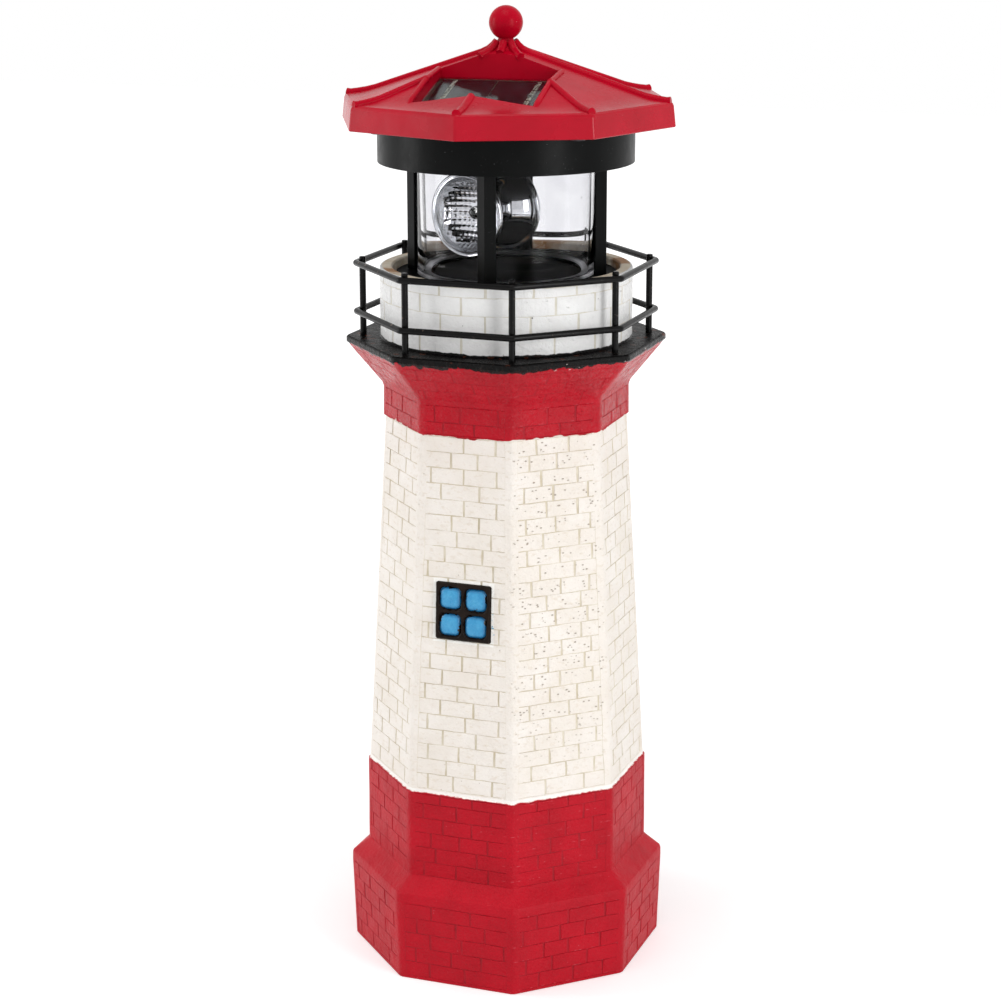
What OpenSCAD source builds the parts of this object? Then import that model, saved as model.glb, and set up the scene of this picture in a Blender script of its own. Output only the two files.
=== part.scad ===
// Garden lighthouse ornament: a cast eight-sided tower with a lift-out lantern.
// Millimetres. +Z is up, the origin is the centre of the base on the ground,
// and -Y is the normal of the tower face that carries the window.

/* [Tower] */
// Width of the plinth across its corners
plinth_width = 121.8; // [116:0.2:128]
// Height of the plinth
plinth_height = 35; // [30:0.5:40]
// Width of the tower across its corners at its foot
foot_width = 108.4; // [102:0.2:112]
// Width of the tower across its corners under the red belt
neck_width = 91.2; // [88:0.2:94]
// Height at which the lower red band ends
red_band_top = 73.4; // [60:0.2:90]
// Height of the walkway deck above the ground
deck_height = 240; // [230:0.5:255]
// Width of the deck across its corners
deck_width = 119.6; // [117:0.2:124]
// Thickness of the cast wall
wall = 5; // [4:0.5:6]

/* [Window] */
// Width and height of the square window frame
window_size = 21.8; // [16:0.2:26]
// Height of the window centre above the ground
window_height = 144.4; // [110:0.2:180]
// How far the window frame stands out of the face
window_relief = 1.2; // [0.8:0.1:2]

/* [Drum and railing] */
// Outer diameter of the round drum that holds the lantern
drum_width = 93.8; // [92.6:0.2:96]
// Inner diameter of the drum at its mouth
drum_bore = 84.2; // [83:0.2:86]
// Height of the drum above the deck
drum_height = 26; // [24:0.5:30]
// Diameter of the round bars of the railing
bar_width = 2.4; // [2:0.1:2.8]
// Height of the upper rail above the deck
rail_height = 27; // [22:0.5:32]

/* [Lantern] */
// Height between the lantern floor and the cap
glass_height = 41; // [38.5:0.5:50]
// Outer diameter of the clear tube
tube_width = 65.8; // [63:0.2:65.8]
// Outer diameter of the black cap under the roof
cap_width = 94.4; // [93:0.2:97]
// Height of the cap wall below the roof
cap_depth = 13.9; // [13.4:0.1:18]
// Turn of the four corner posts about the centre line, in degrees
post_turn = 8.6; // [0:0.2:20]

/* [Roof] */
// Width of the roof across the corners of its lower edge
roof_width = 126.8; // [124:0.2:132]
// Height of the upright edge of the roof
fascia_height = 9; // [8:0.5:12]
// Rise of the roof from the top of its edge to its point
roof_rise = 19.2; // [18.4:0.2:24]
// Width of the well that holds the solar panel
well_width = 45; // [40:0.5:46]
// Diameter of the ball on top
ball_width = 12.4; // [10:0.2:16]

/* [Beacon] */
// Outer diameter of each reflector
reflector_width = 32; // [28:0.5:33]
// Distance between the two rims
rim_spacing = 25.6; // [25:0.2:28]
// Distance of the turning axis from the centre line
axis_offset = 7.8; // [7:0.1:8.6]
// Heading of the front reflector at rest, in degrees
beacon_heading = -16; // [-180:1:180]

/* [Hidden] */

$fn = 64;
fine = 96;
small = 32;

// Clearances between pieces
glue_gap = 0.1;        // between pieces that are glued or pressed together
seat_gap = 0.4;        // round the lantern plug in its socket
run_gap = 0.05;        // radial, round a turning shaft
weld = 0.15;           // depth to which welded or moulded-in pieces bite
mitre_overrun = 0.05;  // how far mitred bars run into each other
hair = 0.02;           // under a seated head, or in a pressed-on hub
cut = 1;               // how far a cutting shape runs past a face
reach = 200;           // larger than the object across

// An octagon's apothem over its corner radius
flat = cos(22.5);

// Tower heights and radii; radii are to the corners
plinth_radius = plinth_width / 2;
base_radius = plinth_radius - 1.2;
foot_radius = foot_width / 2;
neck_radius = neck_width / 2;
deck_radius = deck_width / 2;
shoulder_top = plinth_height + 5;
flare_height = 19;
belt_height = 11.5;
belt_top = deck_height - flare_height;
belt_bottom = belt_top - belt_height;
belt_relief = 0.7;
deck_edge = 2.2;
deck_under = deck_height - deck_edge - 0.8;
shaft_radius = foot_radius - 0.9;
taper = (shaft_radius - neck_radius) / (belt_bottom - red_band_top);

// Window: depths and heights are from the wall's face
window_bed = 1;
pane_bed = 0.6;
pane_crown = 0.3;
window_bar = 2;
pane_side = (window_size - 3 * window_bar) / 2;
pane_pitch = pane_side + window_bar;

// Drum, socket and railing
drum_radius = drum_width / 2;
bore_radius = drum_bore / 2;
drum_top = deck_height + drum_height;
drum_bevel = 0.9;
lantern_floor = drum_top - 2.5;
flange_thickness = 3;
seat_height = lantern_floor - flange_thickness;
socket_radius = bore_radius - 4;
socket_depth = 17;
socket_floor = seat_height - socket_depth;
bar_radius = bar_width / 2;
rail_radius = deck_radius - 4.2;
post_radius = rail_radius - (bar_width - weld) / flat;
rail_top = deck_height + rail_height;
rail_low = deck_height + 0.33 * rail_height;
post_depth = 4;

// Base plate
plate_thickness = 3;
plate_radius = base_radius - wall - 1.5;
plate_ledge = 2;

// Lantern
flange_radius = bore_radius - 1.4;
plug_radius = socket_radius - seat_gap;
plug_depth = 14;
plug_wall = 2;
plug_rise = 0.6;       // how far the plug's hollow reaches into the flange
groove_depth = 1.2;
floor_recess = 0.8;
groove_play = 0.05;    // over and under what stands in the grooves
tube_radius = tube_width / 2;
tube_wall = 1.8;
tube_foot_radius = tube_radius - 4.5;
tube_foot_height = 1.8;
angle_leg = 5;
angle_thickness = 1.2;
ridge_radius = tube_radius + 4.7;
glazing_low = lantern_floor - groove_depth + groove_play;
glazing_height = glass_height + 2 * (groove_depth - groove_play);
cap_floor = lantern_floor + glass_height;
cap_thickness = 2;
cap_radius = cap_width / 2;
cap_inner = cap_radius - cap_thickness;
cap_inside = cap_floor + cap_thickness;

// Roof
roof_turn = 4.1;
roof_wall = 1.8;
eave_low = cap_floor + cap_depth;
eave_top = eave_low + fascia_height;
eave_radius = roof_width / 2;
top_radius = eave_radius - 1;
apex = eave_top + roof_rise;
break_radius = 0.79 * eave_radius;
break_height = eave_top + 0.12 * roof_rise;
pitch = (apex - break_height) / break_radius;
crown_radius = 6;
rib_radius = 1.3;
soffit_low = eave_low + 0.2;
soffit_thickness = 1.6;
soffit_radius = eave_radius - roof_wall - 0.5;
screw_radius = 1.1;
screw_length = 7.4;
head_radius = 2.6;
head_height = 1.6;
head_room = 2;         // between the cap's wall and the screw heads
screw_circle = cap_radius + head_room + head_radius;
screw_turn = 45;       // the screws stand under four of the ribs
boss_radius = 3;
finial_neck = 2.6;
finial_cone = 4.2;
crown_seat = apex - pitch * crown_radius;
finial_radius = crown_radius * flat;
spigot_radius = 2;
spigot_depth = 5;

// Solar well, measured outwards from the centre line along -Y
well_back = 8;
well_front = 43;
well_slope = atan(0.3);
tray_wall = 1.6;
tray_floor = 1.4;
panel_back_z = apex - 11.6;
panel_gap = 0.3;
board_thickness = 1.2;
cell_thickness = 0.25;
glass_thickness = 0.5;
ribbon_thickness = 0.1;
panel_stack = board_thickness + cell_thickness + ribbon_thickness + glass_thickness;
cell_margin = 1.5;
cell_gap = 0.6;
ribbon_width = 1.6;
ribbon_place = 0.35 * well_width;

// Drive
module_size = 1;
gear_teeth = 30;
pinion_teeth = 10;
shaft_distance = module_size * (gear_teeth + pinion_teeth) / 2;
bushing_radius = 3.5;
bushing_low = cap_floor - 0.6;
bushing_top = cap_inside + 1.2;
gear_low = cap_inside + 3.5;
gear_thickness = 3;
gear_hub_low = bushing_top + 0.3;
gear_hub_top = gear_low + gear_thickness + 0.6;
plate_low = gear_low + gear_thickness + 1.4;
bracket_thickness = 1.6;
motor_low = plate_low + bracket_thickness;
motor_radius = 12;
motor_height = 12;
motor_x = shaft_distance - axis_offset;
motor_boss_radius = 3;
pillar_radius = 3;
pillar_bore = 1.2;
pillar_reach = motor_radius + pillar_radius + 0.5;
pillar_head_radius = 2.2;
pillar_head_height = 1.3;
pillar_screw_length = 6.5;
spindle_radius = 1.5;
motor_shaft_radius = 1;
shaft_depth = 5;

// Beacon
beacon_rise = 21.7;
beacon_height = lantern_floor + beacon_rise;
rim_radius = reflector_width / 2;
rim_half = rim_spacing / 2;
hub_half = 1.8;
bowl_depth = rim_half - hub_half;
bowl_wall = 1;
bowl_radius = rim_radius - 1.3;
lamp_radius = 2.5;
lamp_hole = lamp_radius + 0.1;
neck_low = beacon_height + 9;
hub_radius = 6;
lamp_seat = 1.1;       // depth of the lamp's foot in the hub
lamp_length = 5.6;
bowl_steps = 8;
ring_radius = 3.2;
ring_height = 1.6;
ring_levels = [gear_hub_top + 0.6, gear_hub_top + 3.2];
neck_top = cap_floor - 1.6;
spindle_top = plate_low + 6.6;

// Battery compartment and switch
cell_radius = 7.1;
cell_length = 48;
cell_button_radius = 2.8;
holder_floor = 1.2;
holder_height = 7.5;
holder_width = 2 * (cell_radius + 0.3 + holder_floor);
holder_length = cell_length + 6;
battery_y = pillar_reach + pillar_radius + glue_gap + holder_width / 2;
battery_z = cap_inside + holder_floor + cell_radius + glue_gap;
contact_side = 10;
contact_thickness = 0.6;
contact_bump_radius = 2.4;
contact_bump = 0.6;
switch_travel = 2.4;
slot_play = 0.3;
nub_width = 2.4;
nub_height = 2.6;
nub_low = cap_inside + 2.9;
plate_margin = 1;      // of the slider's plate, over and under its nub
slider_thickness = 1.6;
switch_front = cap_inner - 0.5;

// Circuit board and brushes
board_width = 40;
board_depth = 16;
circuit_thickness = 1.2;
board_y = -36;
board_top = cap_inside + 4.2;
board_leg_x = board_width / 2 - 5;
board_leg_radius = 2;
chip_size = [6, 5, 1.6];
coil_size = [4, 6, 2];
capacitor_radius = 2.5;
capacitor_height = 5;
parts_y = board_depth / 2;
brush_x = -axis_offset;
block_width = 6;
block_depth = 3;
block_y = board_y + board_depth - block_depth - 0.4;
brush_thickness = 0.4;
brush_height = 1;

// ---- Shared shapes ----

// A solid whose level sections are octagons. Each outline point is a corner
// radius and a height, from the bottom up. Its flats face the axes.
module eight_sided(outline) {
    right = [for (point = outline) [point[0] * flat, point[1]]];
    left = [for (i = [len(outline) - 1:-1:0]) [-outline[i][0] * flat, outline[i][1]]];
    intersection_for (side = [0:3])
        rotate([90, 0, 45 * side])
            linear_extrude(height = reach, center = true)
                polygon(concat(right, left));
}

module tube(outer, inner, height) {
    difference() {
        cylinder(r = outer, h = height);
        translate([0, 0, -cut])
            cylinder(r = inner, h = height + 2 * cut);
    }
}

// Puts a child at each corner of the tower
module at_corners(radius) {
    for (corner = [0:7])
        rotate([0, 0, 22.5 + 45 * corner])
            translate([radius, 0, 0])
                children();
}

// Turns the lantern's own frame into the tower's: -Y then points at the well
module in_lantern() {
    rotate([0, 0, roof_turn])
        children();
}

// Turns the beacon's frame, with its shaft on the Z axis and -Y ahead
module in_beacon() {
    in_lantern()
        translate([-axis_offset, 0, 0])
            rotate([0, 0, beacon_heading - roof_turn])
                children();
}

module in_motor() {
    in_lantern()
        translate([motor_x, 0, 0])
            children();
}

// A spur gear with straight-sided teeth, slightly thin so that it runs free
module spur_gear(teeth, thickness) {
    pitch_radius = module_size * teeth / 2;
    root = pitch_radius - 1.15 * module_size;
    tip = pitch_radius + 0.85 * module_size;
    root_half = 0.62 * module_size;
    tip_half = 0.3 * module_size;
    linear_extrude(height = thickness)
        union() {
            circle(r = root + 0.1);
            for (tooth = [0:teeth - 1])
                rotate([0, 0, 360 * tooth / teeth])
                    polygon([
                        [root - 0.5, -root_half], [root, -root_half],
                        [tip, -tip_half], [tip, tip_half],
                        [root, root_half], [root - 0.5, root_half]
                    ]);
        }
}

// ---- Tower ----

// Plinth, sloping shoulder and the red band above it
foot_outline = [
    [base_radius, 0],
    [plinth_radius, plinth_height - 2],
    [plinth_radius - 0.7, plinth_height],
    [foot_radius + 1.4, shoulder_top - 1.4],
    [foot_radius, shoulder_top],
    [foot_radius - 0.2, red_band_top]
];

shaft_outline = [
    [shaft_radius, red_band_top],
    [neck_radius, belt_bottom]
];

// Raised belt and the flare under the deck
flare_outline = [
    [neck_radius + belt_relief, belt_bottom],
    [neck_radius + belt_relief - 0.1, belt_top],
    [neck_radius + belt_relief + 0.3, belt_top + 1],
    [deck_radius - 0.9, deck_under]
];

deck_outline = [
    [deck_radius, deck_height - deck_edge],
    [deck_radius, deck_height - 0.7],
    [deck_radius - 0.7, deck_height]
];

// Distance of a shaft face from the centre line at a height
function face_distance(height) = (shaft_radius - taper * (height - red_band_top)) * flat;

face_lean = atan(taper * flat);

// Puts a child on the window face, +Z outwards and +Y up the face
module on_window_face() {
    translate([0, -face_distance(window_height), window_height])
        rotate([90 - face_lean, 0, 0])
            children();
}

// The tower's open inside, a wall's thickness under the skin
module tower_cavity() {
    eight_sided([
        [plate_radius - plate_ledge, plate_thickness - cut],
        [plate_radius - plate_ledge, plinth_height - wall],
        [shaft_radius - wall, shoulder_top],
        [shaft_radius - wall, red_band_top - wall],
        [neck_radius - wall, belt_bottom],
        [neck_radius - wall, min(socket_floor, deck_under) - wall]
    ]);
}

module tower_shell() {
    color([0.93, 0.9, 0.85])
        difference() {
            union() {
                eight_sided(concat(foot_outline, shaft_outline, flare_outline, deck_outline));
                translate([0, 0, deck_under])
                    cylinder(r = drum_radius, h = drum_top - drum_bevel - deck_under, $fn = fine);
                translate([0, 0, drum_top - drum_bevel])
                    cylinder(r1 = drum_radius, r2 = drum_radius - drum_bevel, h = drum_bevel,
                             $fn = fine);
            }
            tower_cavity();
            translate([0, 0, -cut])
                rotate([0, 0, 22.5])
                    cylinder(r = plate_radius, h = plate_thickness + cut, $fn = 8);
            translate([0, 0, seat_height])
                cylinder(r = bore_radius, h = drum_top - seat_height + cut, $fn = fine);
            translate([0, 0, socket_floor])
                cylinder(r = socket_radius, h = socket_depth + cut, $fn = fine);
            translate([0, 0, deck_height - post_depth])
                at_corners(post_radius)
                    cylinder(r = bar_radius + run_gap, h = post_depth + cut, $fn = small);
            on_window_face()
                cube([window_size + 2 * glue_gap, window_size + 2 * glue_gap, 2 * window_bed],
                     center = true);
        }
}

module base_plate() {
    color([0.25, 0.25, 0.26])
        rotate([0, 0, 22.5])
            cylinder(r = plate_radius - glue_gap, h = plate_thickness - 0.05, $fn = 8);
}

// ---- Window ----

// Puts a child on the centre of each of the four panes
module at_panes() {
    for (x = [-0.5, 0.5], y = [-0.5, 0.5])
        translate([x * pane_pitch, y * pane_pitch, 0])
            children();
}

// The frame lies in a shallow bed in the wall, and each pane in a bed in the frame
module window_frame() {
    color([0.1, 0.09, 0.08])
        on_window_face()
            difference() {
                translate([-window_size / 2, -window_size / 2, -window_bed])
                    cube([window_size, window_size, window_bed + window_relief]);
                at_panes()
                    translate([-pane_side / 2, -pane_side / 2, -pane_bed])
                        cube([pane_side, pane_side, pane_bed + window_relief + cut]);
            }
}

// Four panes with domed faces, like small cushions
module window_panes() {
    side = pane_side - 2 * glue_gap;
    color([0.2, 0.6, 0.85])
        on_window_face()
            at_panes()
                intersection() {
                    translate([-side / 2, -side / 2, -pane_bed])
                        cube([side, side, pane_bed + window_relief + cut]);
                    translate([0, 0, window_relief + pane_crown - side])
                        sphere(r = side, $fn = 48);
                }
}

// ---- Railing ----

// One side of an octagonal ring of round bar, mitred at both ends
module rail_side() {
    side = 2 * rail_radius * sin(22.5);
    intersection() {
        translate([rail_radius * flat, -side / 2 - bar_width, 0])
            rotate([-90, 0, 0])
                cylinder(r = bar_radius, h = side + 2 * bar_width, $fn = small);
        translate([-mitre_overrun, 0, -bar_width])
            linear_extrude(height = 2 * bar_width)
                polygon([[0, 0], [reach, -reach * tan(22.5)], [reach, reach * tan(22.5)]]);
    }
}

module rail_ring(height) {
    translate([0, 0, height])
        union() {
            for (side = [0:7])
                rotate([0, 0, 45 * side])
                    rail_side();
        }
}

module upper_rail() {
    color([0.08, 0.08, 0.09])
        rail_ring(rail_top);
}

module lower_rail() {
    color([0.08, 0.08, 0.09])
        rail_ring(rail_low);
}

module railing_posts() {
    foot = deck_height - post_depth + glue_gap;
    height = rail_top + bar_width - foot;
    color([0.08, 0.08, 0.09])
        at_corners(post_radius)
            translate([0, 0, foot])
                cylinder(r = bar_radius, h = height, $fn = small);
}

// ---- Lantern housing ----

// One L-shaped corner post's section, its ridge outwards along +X
module angle_section(grow) {
    leg = angle_leg + grow;
    thickness = angle_thickness + 2 * grow;
    translate([ridge_radius + grow * 1.4, 0])
        rotate(135)
            difference() {
                square([leg + grow, leg + grow]);
                translate([thickness, thickness])
                    square([leg, leg]);
            }
}

module post_at(turn, grow, low, height) {
    rotate([0, 0, post_turn - 90 + turn])
        translate([0, 0, low])
            linear_extrude(height = height)
                angle_section(grow);
}

module lantern_base() {
    recess_radius = tube_foot_radius - 0.3;
    color([0.06, 0.06, 0.06])
        difference() {
            union() {
                translate([0, 0, seat_height])
                    cylinder(r = flange_radius, h = flange_thickness, $fn = fine);
                translate([0, 0, seat_height - plug_depth])
                    cylinder(r = plug_radius, h = plug_depth + cut, $fn = fine);
            }
            translate([0, 0, seat_height - plug_depth - cut])
                cylinder(r = plug_radius - plug_wall, h = plug_depth + cut + plug_rise, $fn = fine);
            translate([0, 0, lantern_floor - groove_depth])
                tube(tube_radius + glue_gap, recess_radius, groove_depth + cut);
            translate([0, 0, lantern_floor - floor_recess])
                cylinder(r = recess_radius - 1, h = floor_recess + cut);
            for (turn = [0:90:270])
                post_at(turn, glue_gap, lantern_floor - groove_depth, groove_depth + cut);
        }
}

module lantern_posts() {
    color([0.06, 0.06, 0.06])
        for (turn = [0:90:270])
            post_at(turn, 0, glazing_low, glazing_height);
}

// The tube has a ring foot that it stands on inside its groove
module clear_tube() {
    color([0.85, 0.88, 0.9, 0.3])
        translate([0, 0, glazing_low])
            union() {
                tube(tube_radius, tube_radius - tube_wall, glazing_height, $fn = fine);
                tube(tube_radius - tube_wall + 0.5, tube_foot_radius, tube_foot_height, $fn = fine);
            }
}

// ---- Cap: a shallow cup with an octagonal plate that closes the roof ----

module cap_screw_holes(radius) {
    for (turn = [0:90:270])
        rotate([0, 0, screw_turn + turn])
            translate([screw_circle, 0, soffit_low - cut])
                cylinder(r = radius, h = soffit_thickness + 2 * cut, $fn = small);
}

module cap() {
    color([0.07, 0.07, 0.075])
        in_lantern()
            difference() {
                union() {
                    translate([0, 0, cap_floor])
                        cylinder(r = cap_radius, h = soffit_low - cap_floor + 0.5, $fn = fine);
                    translate([0, 0, soffit_low])
                        cylinder(r = soffit_radius, h = soffit_thickness, $fn = 8);
                }
                translate([0, 0, cap_inside])
                    cylinder(r = cap_inner, h = cap_depth + 2 * cut, $fn = fine);
                // groove for the clear tube
                translate([0, 0, cap_floor - cut])
                    tube(tube_radius + glue_gap, tube_radius - tube_wall - glue_gap, groove_depth + cut);
                for (turn = [0:90:270])
                    rotate([0, 0, -roof_turn])
                        post_at(turn, glue_gap, cap_floor - cut, groove_depth + cut);
                // bushing hole
                translate([-axis_offset, 0, cap_floor - cut])
                    cylinder(r = bushing_radius, h = cap_thickness + 2 * cut, $fn = small);
                cap_screw_holes(screw_radius + 0.4);
                // switch slot in the back wall
                translate([-nub_width / 2 - slot_play, cap_inner - cut, nub_low - slot_play])
                    cube([nub_width + 2 * slot_play, cap_thickness + 2 * cut,
                          nub_height + switch_travel + 2 * slot_play]);
            }
}

// ---- Roof ----

// The roof flattens out between its steep part and its edge
skirt_radius = (top_radius + break_radius) / 2;
skirt_height = eave_top + 0.3 * (break_height - eave_top);

module roof_body() {
    rotate([0, 0, 22.5])
        eight_sided([
            [eave_radius, eave_low],
            [top_radius + 0.1, eave_top - 0.9],
            [top_radius - 0.8, eave_top],
            [skirt_radius, skirt_height],
            [break_radius, break_height],
            [crown_radius, crown_seat]
        ]);
}

module roof_hollow() {
    rotate([0, 0, 22.5])
        eight_sided([
            [eave_radius - roof_wall + 0.1, eave_low - cut],
            [top_radius - roof_wall, eave_top - 1 - roof_wall],
            [break_radius, break_height - roof_wall - 0.4],
            [crown_radius - 2, crown_seat - roof_wall - 0.4]
        ]);
}

// The space above a plane that runs parallel to the well's sloping floor
module above_slope(offset) {
    translate([0, -well_back, panel_back_z + offset])
        rotate([well_slope, 0, 0])
            translate([-reach / 2, -reach / 2, 0])
                cube([reach, reach, reach]);
}

module well_column(grow) {
    depth = well_front - well_back + 2 * grow;
    translate([-well_width / 2 - grow, -well_front - grow, eave_low])
        cube([well_width + 2 * grow, depth, reach]);
}

// The space beyond a plane that stands across the rib at a point
module beyond(point, heading, offset) {
    translate([point[0], 0, point[1]])
        rotate([0, -heading, 0])
            translate([offset, -reach / 2, -reach / 2])
                cube([reach, reach, reach]);
}

// A round rib down one corner of the roof: two bars mitred where the roof
// flattens, and a small knob at the end. Points are a radius and a height.
module rib() {
    start = [crown_radius - 1, apex - pitch * (crown_radius - 1)];
    bend = [break_radius, break_height];
    end = [top_radius - 2, eave_top + 0.5];
    steep = atan2(bend[1] - start[1], bend[0] - start[0]);
    gentle = atan2(end[1] - bend[1], end[0] - bend[0]);
    mitre = (steep + gentle) / 2;
    difference() {
        translate([start[0], 0, start[1]])
            rotate([0, 90 - steep, 0])
                cylinder(r = rib_radius, h = norm(bend - start) + cut, $fn = small);
        beyond(bend, mitre, mitre_overrun);
    }
    intersection() {
        translate([end[0], 0, end[1]])
            rotate([0, -90 - gentle, 0])
                cylinder(r = rib_radius, h = norm(end - bend) + cut, $fn = small);
        beyond(bend, mitre, -mitre_overrun);
    }
    translate([end[0], 0, end[1]])
        sphere(r = rib_radius + 0.2, $fn = small);
}

module screw_bosses() {
    for (turn = [0:90:270])
        rotate([0, 0, screw_turn + turn])
            translate([screw_circle, 0, soffit_low + soffit_thickness])
                cylinder(r = boss_radius, h = fascia_height, $fn = small);
}

module roof() {
    color([0.75, 0.06, 0.09])
        in_lantern()
            difference() {
                union() {
                    difference() {
                        roof_body();
                        roof_hollow();
                    }
                    // tray round the solar panel
                    intersection() {
                        roof_body();
                        well_column(tray_wall);
                        above_slope(-panel_stack - tray_floor);
                    }
                    intersection() {
                        roof_body();
                        screw_bosses();
                    }
                    for (corner = [0:7])
                        rotate([0, 0, 45 * corner - 90])
                            rib();
                    // boss for the ball's spigot
                    translate([0, 0, crown_seat - spigot_depth])
                        cylinder(r = spigot_radius + 2.5, h = spigot_depth - 1);
                }
                intersection() {
                    well_column(0);
                    above_slope(-panel_stack);
                }
                translate([0, 0, crown_seat - 2 * spigot_depth])
                    cylinder(r = spigot_radius, h = 4 * spigot_depth, $fn = small);
                // seat for the foot of the ball
                translate([0, 0, crown_seat])
                    cylinder(r = finial_radius + glue_gap, h = crown_radius);
                for (turn = [0:90:270])
                    rotate([0, 0, screw_turn + turn])
                        translate([screw_circle, 0, soffit_low])
                            cylinder(r = screw_radius + run_gap, h = screw_length, $fn = small);
            }
}

// Ball on a short cone, with a spigot below that holds it in the roof
module finial() {
    ball_radius = ball_width / 2;
    color([0.75, 0.06, 0.09])
        translate([0, 0, crown_seat])
            union() {
                translate([0, 0, -spigot_depth])
                    cylinder(r = spigot_radius - run_gap, h = spigot_depth + cut, $fn = small);
                cylinder(r1 = finial_radius, r2 = finial_neck, h = finial_cone);
                translate([0, 0, finial_cone - 0.8 + ball_radius])
                    sphere(r = ball_radius);
            }
}

module roof_screws() {
    color([0.6, 0.6, 0.62])
        in_lantern()
            for (turn = [0:90:270])
                rotate([0, 0, screw_turn + turn])
                    translate([screw_circle, 0, 0])
                        union() {
                            translate([0, 0, soffit_low - head_height])
                                cylinder(r = head_radius, h = head_height - hair, $fn = small);
                            translate([0, 0, soffit_low - cut])
                                cylinder(r = screw_radius, h = screw_length, $fn = small);
                        }
}

// ---- Solar panel: board, cells, ribbons and a glazed face ----

// A rectangle of the panel, a level above the tray and a margin in from the
// panel's edge; the panel lies with a gap all round in the sloping well
module panel_layer(level, margin, thickness) {
    width = well_width - 2 * panel_gap;
    run = well_front - well_back - 2 * panel_gap - panel_stack * sin(well_slope);
    length = run / cos(well_slope);
    in_lantern()
        translate([0, -well_back - panel_gap, panel_back_z - panel_stack])
            rotate([well_slope, 0, 0])
                translate([margin - width / 2, margin - length, level])
                    cube([width - 2 * margin, length - 2 * margin, thickness]);
}

module panel_board() {
    color([0.05, 0.1, 0.07])
        panel_layer(glue_gap, 0, board_thickness - glue_gap);
}

// Two cells side by side, parted by a thin gap
module solar_cells() {
    color([0.02, 0.03, 0.05])
        difference() {
            panel_layer(board_thickness, cell_margin, cell_thickness);
            in_lantern()
                translate([-cell_gap / 2, -reach / 2, 0])
                    cube([cell_gap, reach, 2 * reach]);
        }
}

// One soldered ribbon along each cell
module cell_ribbons() {
    color([0.8, 0.8, 0.78])
        intersection() {
            panel_layer(board_thickness + cell_thickness, cell_margin + 0.5, ribbon_thickness);
            in_lantern()
                for (side = [-1, 1])
                    translate([side * ribbon_place - ribbon_width / 2, -reach / 2, 0])
                        cube([ribbon_width, reach, 2 * reach]);
        }
}

module panel_glass() {
    color([0.6, 0.7, 0.65, 0.3])
        panel_layer(board_thickness + cell_thickness + ribbon_thickness, 0, glass_thickness);
}

// ---- Drive inside the cap ----

module spindle_bushing() {
    color([0.75, 0.6, 0.3])
        in_lantern()
            translate([-axis_offset, 0, 0])
                difference() {
                    union() {
                        translate([0, 0, bushing_low])
                            cylinder(r = bushing_radius - run_gap, h = cap_inside - bushing_low + hair,
                                     $fn = small);
                        translate([0, 0, cap_inside])
                            cylinder(r = bushing_radius + 1.5, h = bushing_top - cap_inside,
                                     $fn = small);
                    }
                    translate([0, 0, bushing_low - cut])
                        cylinder(r = spindle_radius + run_gap, $fn = small,
                                 h = bushing_top - bushing_low + 2 * cut);
                }
}

module motor() {
    color([0.7, 0.71, 0.73])
        in_motor()
            difference() {
                union() {
                    translate([0, 0, motor_low])
                        cylinder(r = motor_radius, h = motor_height);
                    translate([0, 0, plate_low])
                        cylinder(r = motor_boss_radius, h = bracket_thickness + cut, $fn = small);
                }
                translate([0, 0, plate_low - cut])
                    cylinder(r = motor_shaft_radius + run_gap, $fn = small,
                             h = motor_low + shaft_depth + hair - plate_low + cut);
            }
}

// The two pillars stand beside the motor, one on each side
module at_pillars() {
    for (side = [-1, 1])
        translate([0, side * pillar_reach, 0])
            children();
}

module motor_bracket() {
    color([0.75, 0.76, 0.78])
        in_motor()
            difference() {
                union() {
                    translate([0, 0, plate_low])
                        cylinder(r = motor_radius - 1, h = bracket_thickness);
                    translate([-pillar_radius, -pillar_reach, plate_low])
                        cube([2 * pillar_radius, 2 * pillar_reach, bracket_thickness]);
                    at_pillars()
                        translate([0, 0, cap_inside])
                            cylinder(r = pillar_radius, h = motor_low - cap_inside, $fn = small);
                }
                translate([0, 0, plate_low - cut])
                    cylinder(r = motor_boss_radius + glue_gap, h = bracket_thickness + 2 * cut,
                             $fn = small);
                at_pillars()
                    translate([0, 0, cap_inside - cut])
                        cylinder(r = pillar_bore, h = motor_low - cap_inside + 2 * cut,
                                 $fn = small);
            }
}

module bracket_screws() {
    head_low = motor_low + hair;
    color([0.6, 0.6, 0.62])
        in_motor()
            at_pillars()
                union() {
                    translate([0, 0, head_low - pillar_screw_length + pillar_head_height / 2])
                        cylinder(r = pillar_bore - run_gap, h = pillar_screw_length, $fn = small);
                    translate([0, 0, head_low])
                        cylinder(r = pillar_head_radius, h = pillar_head_height, $fn = small);
                }
}

module motor_shaft() {
    low = gear_low - 1;
    color([0.75, 0.76, 0.78])
        in_motor()
            translate([0, 0, low])
                cylinder(r = motor_shaft_radius, h = motor_low + shaft_depth - low, $fn = small);
}

module motor_pinion() {
    overhang = 0.3;
    color([0.9, 0.9, 0.85])
        in_motor()
            translate([0, 0, gear_low - overhang])
                difference() {
                    rotate([0, 0, 180])
                        spur_gear(pinion_teeth, gear_thickness + 2 * overhang);
                    translate([0, 0, -cut])
                        cylinder(r = motor_shaft_radius - hair, $fn = small,
                                 h = gear_thickness + 2 * (overhang + cut));
                }
}

// ---- Beacon ----

module spindle() {
    color([0.75, 0.76, 0.78])
        in_beacon()
            translate([0, 0, neck_low + cut])
                cylinder(r = spindle_radius, h = spindle_top - neck_low - cut, $fn = small);
}

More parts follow.
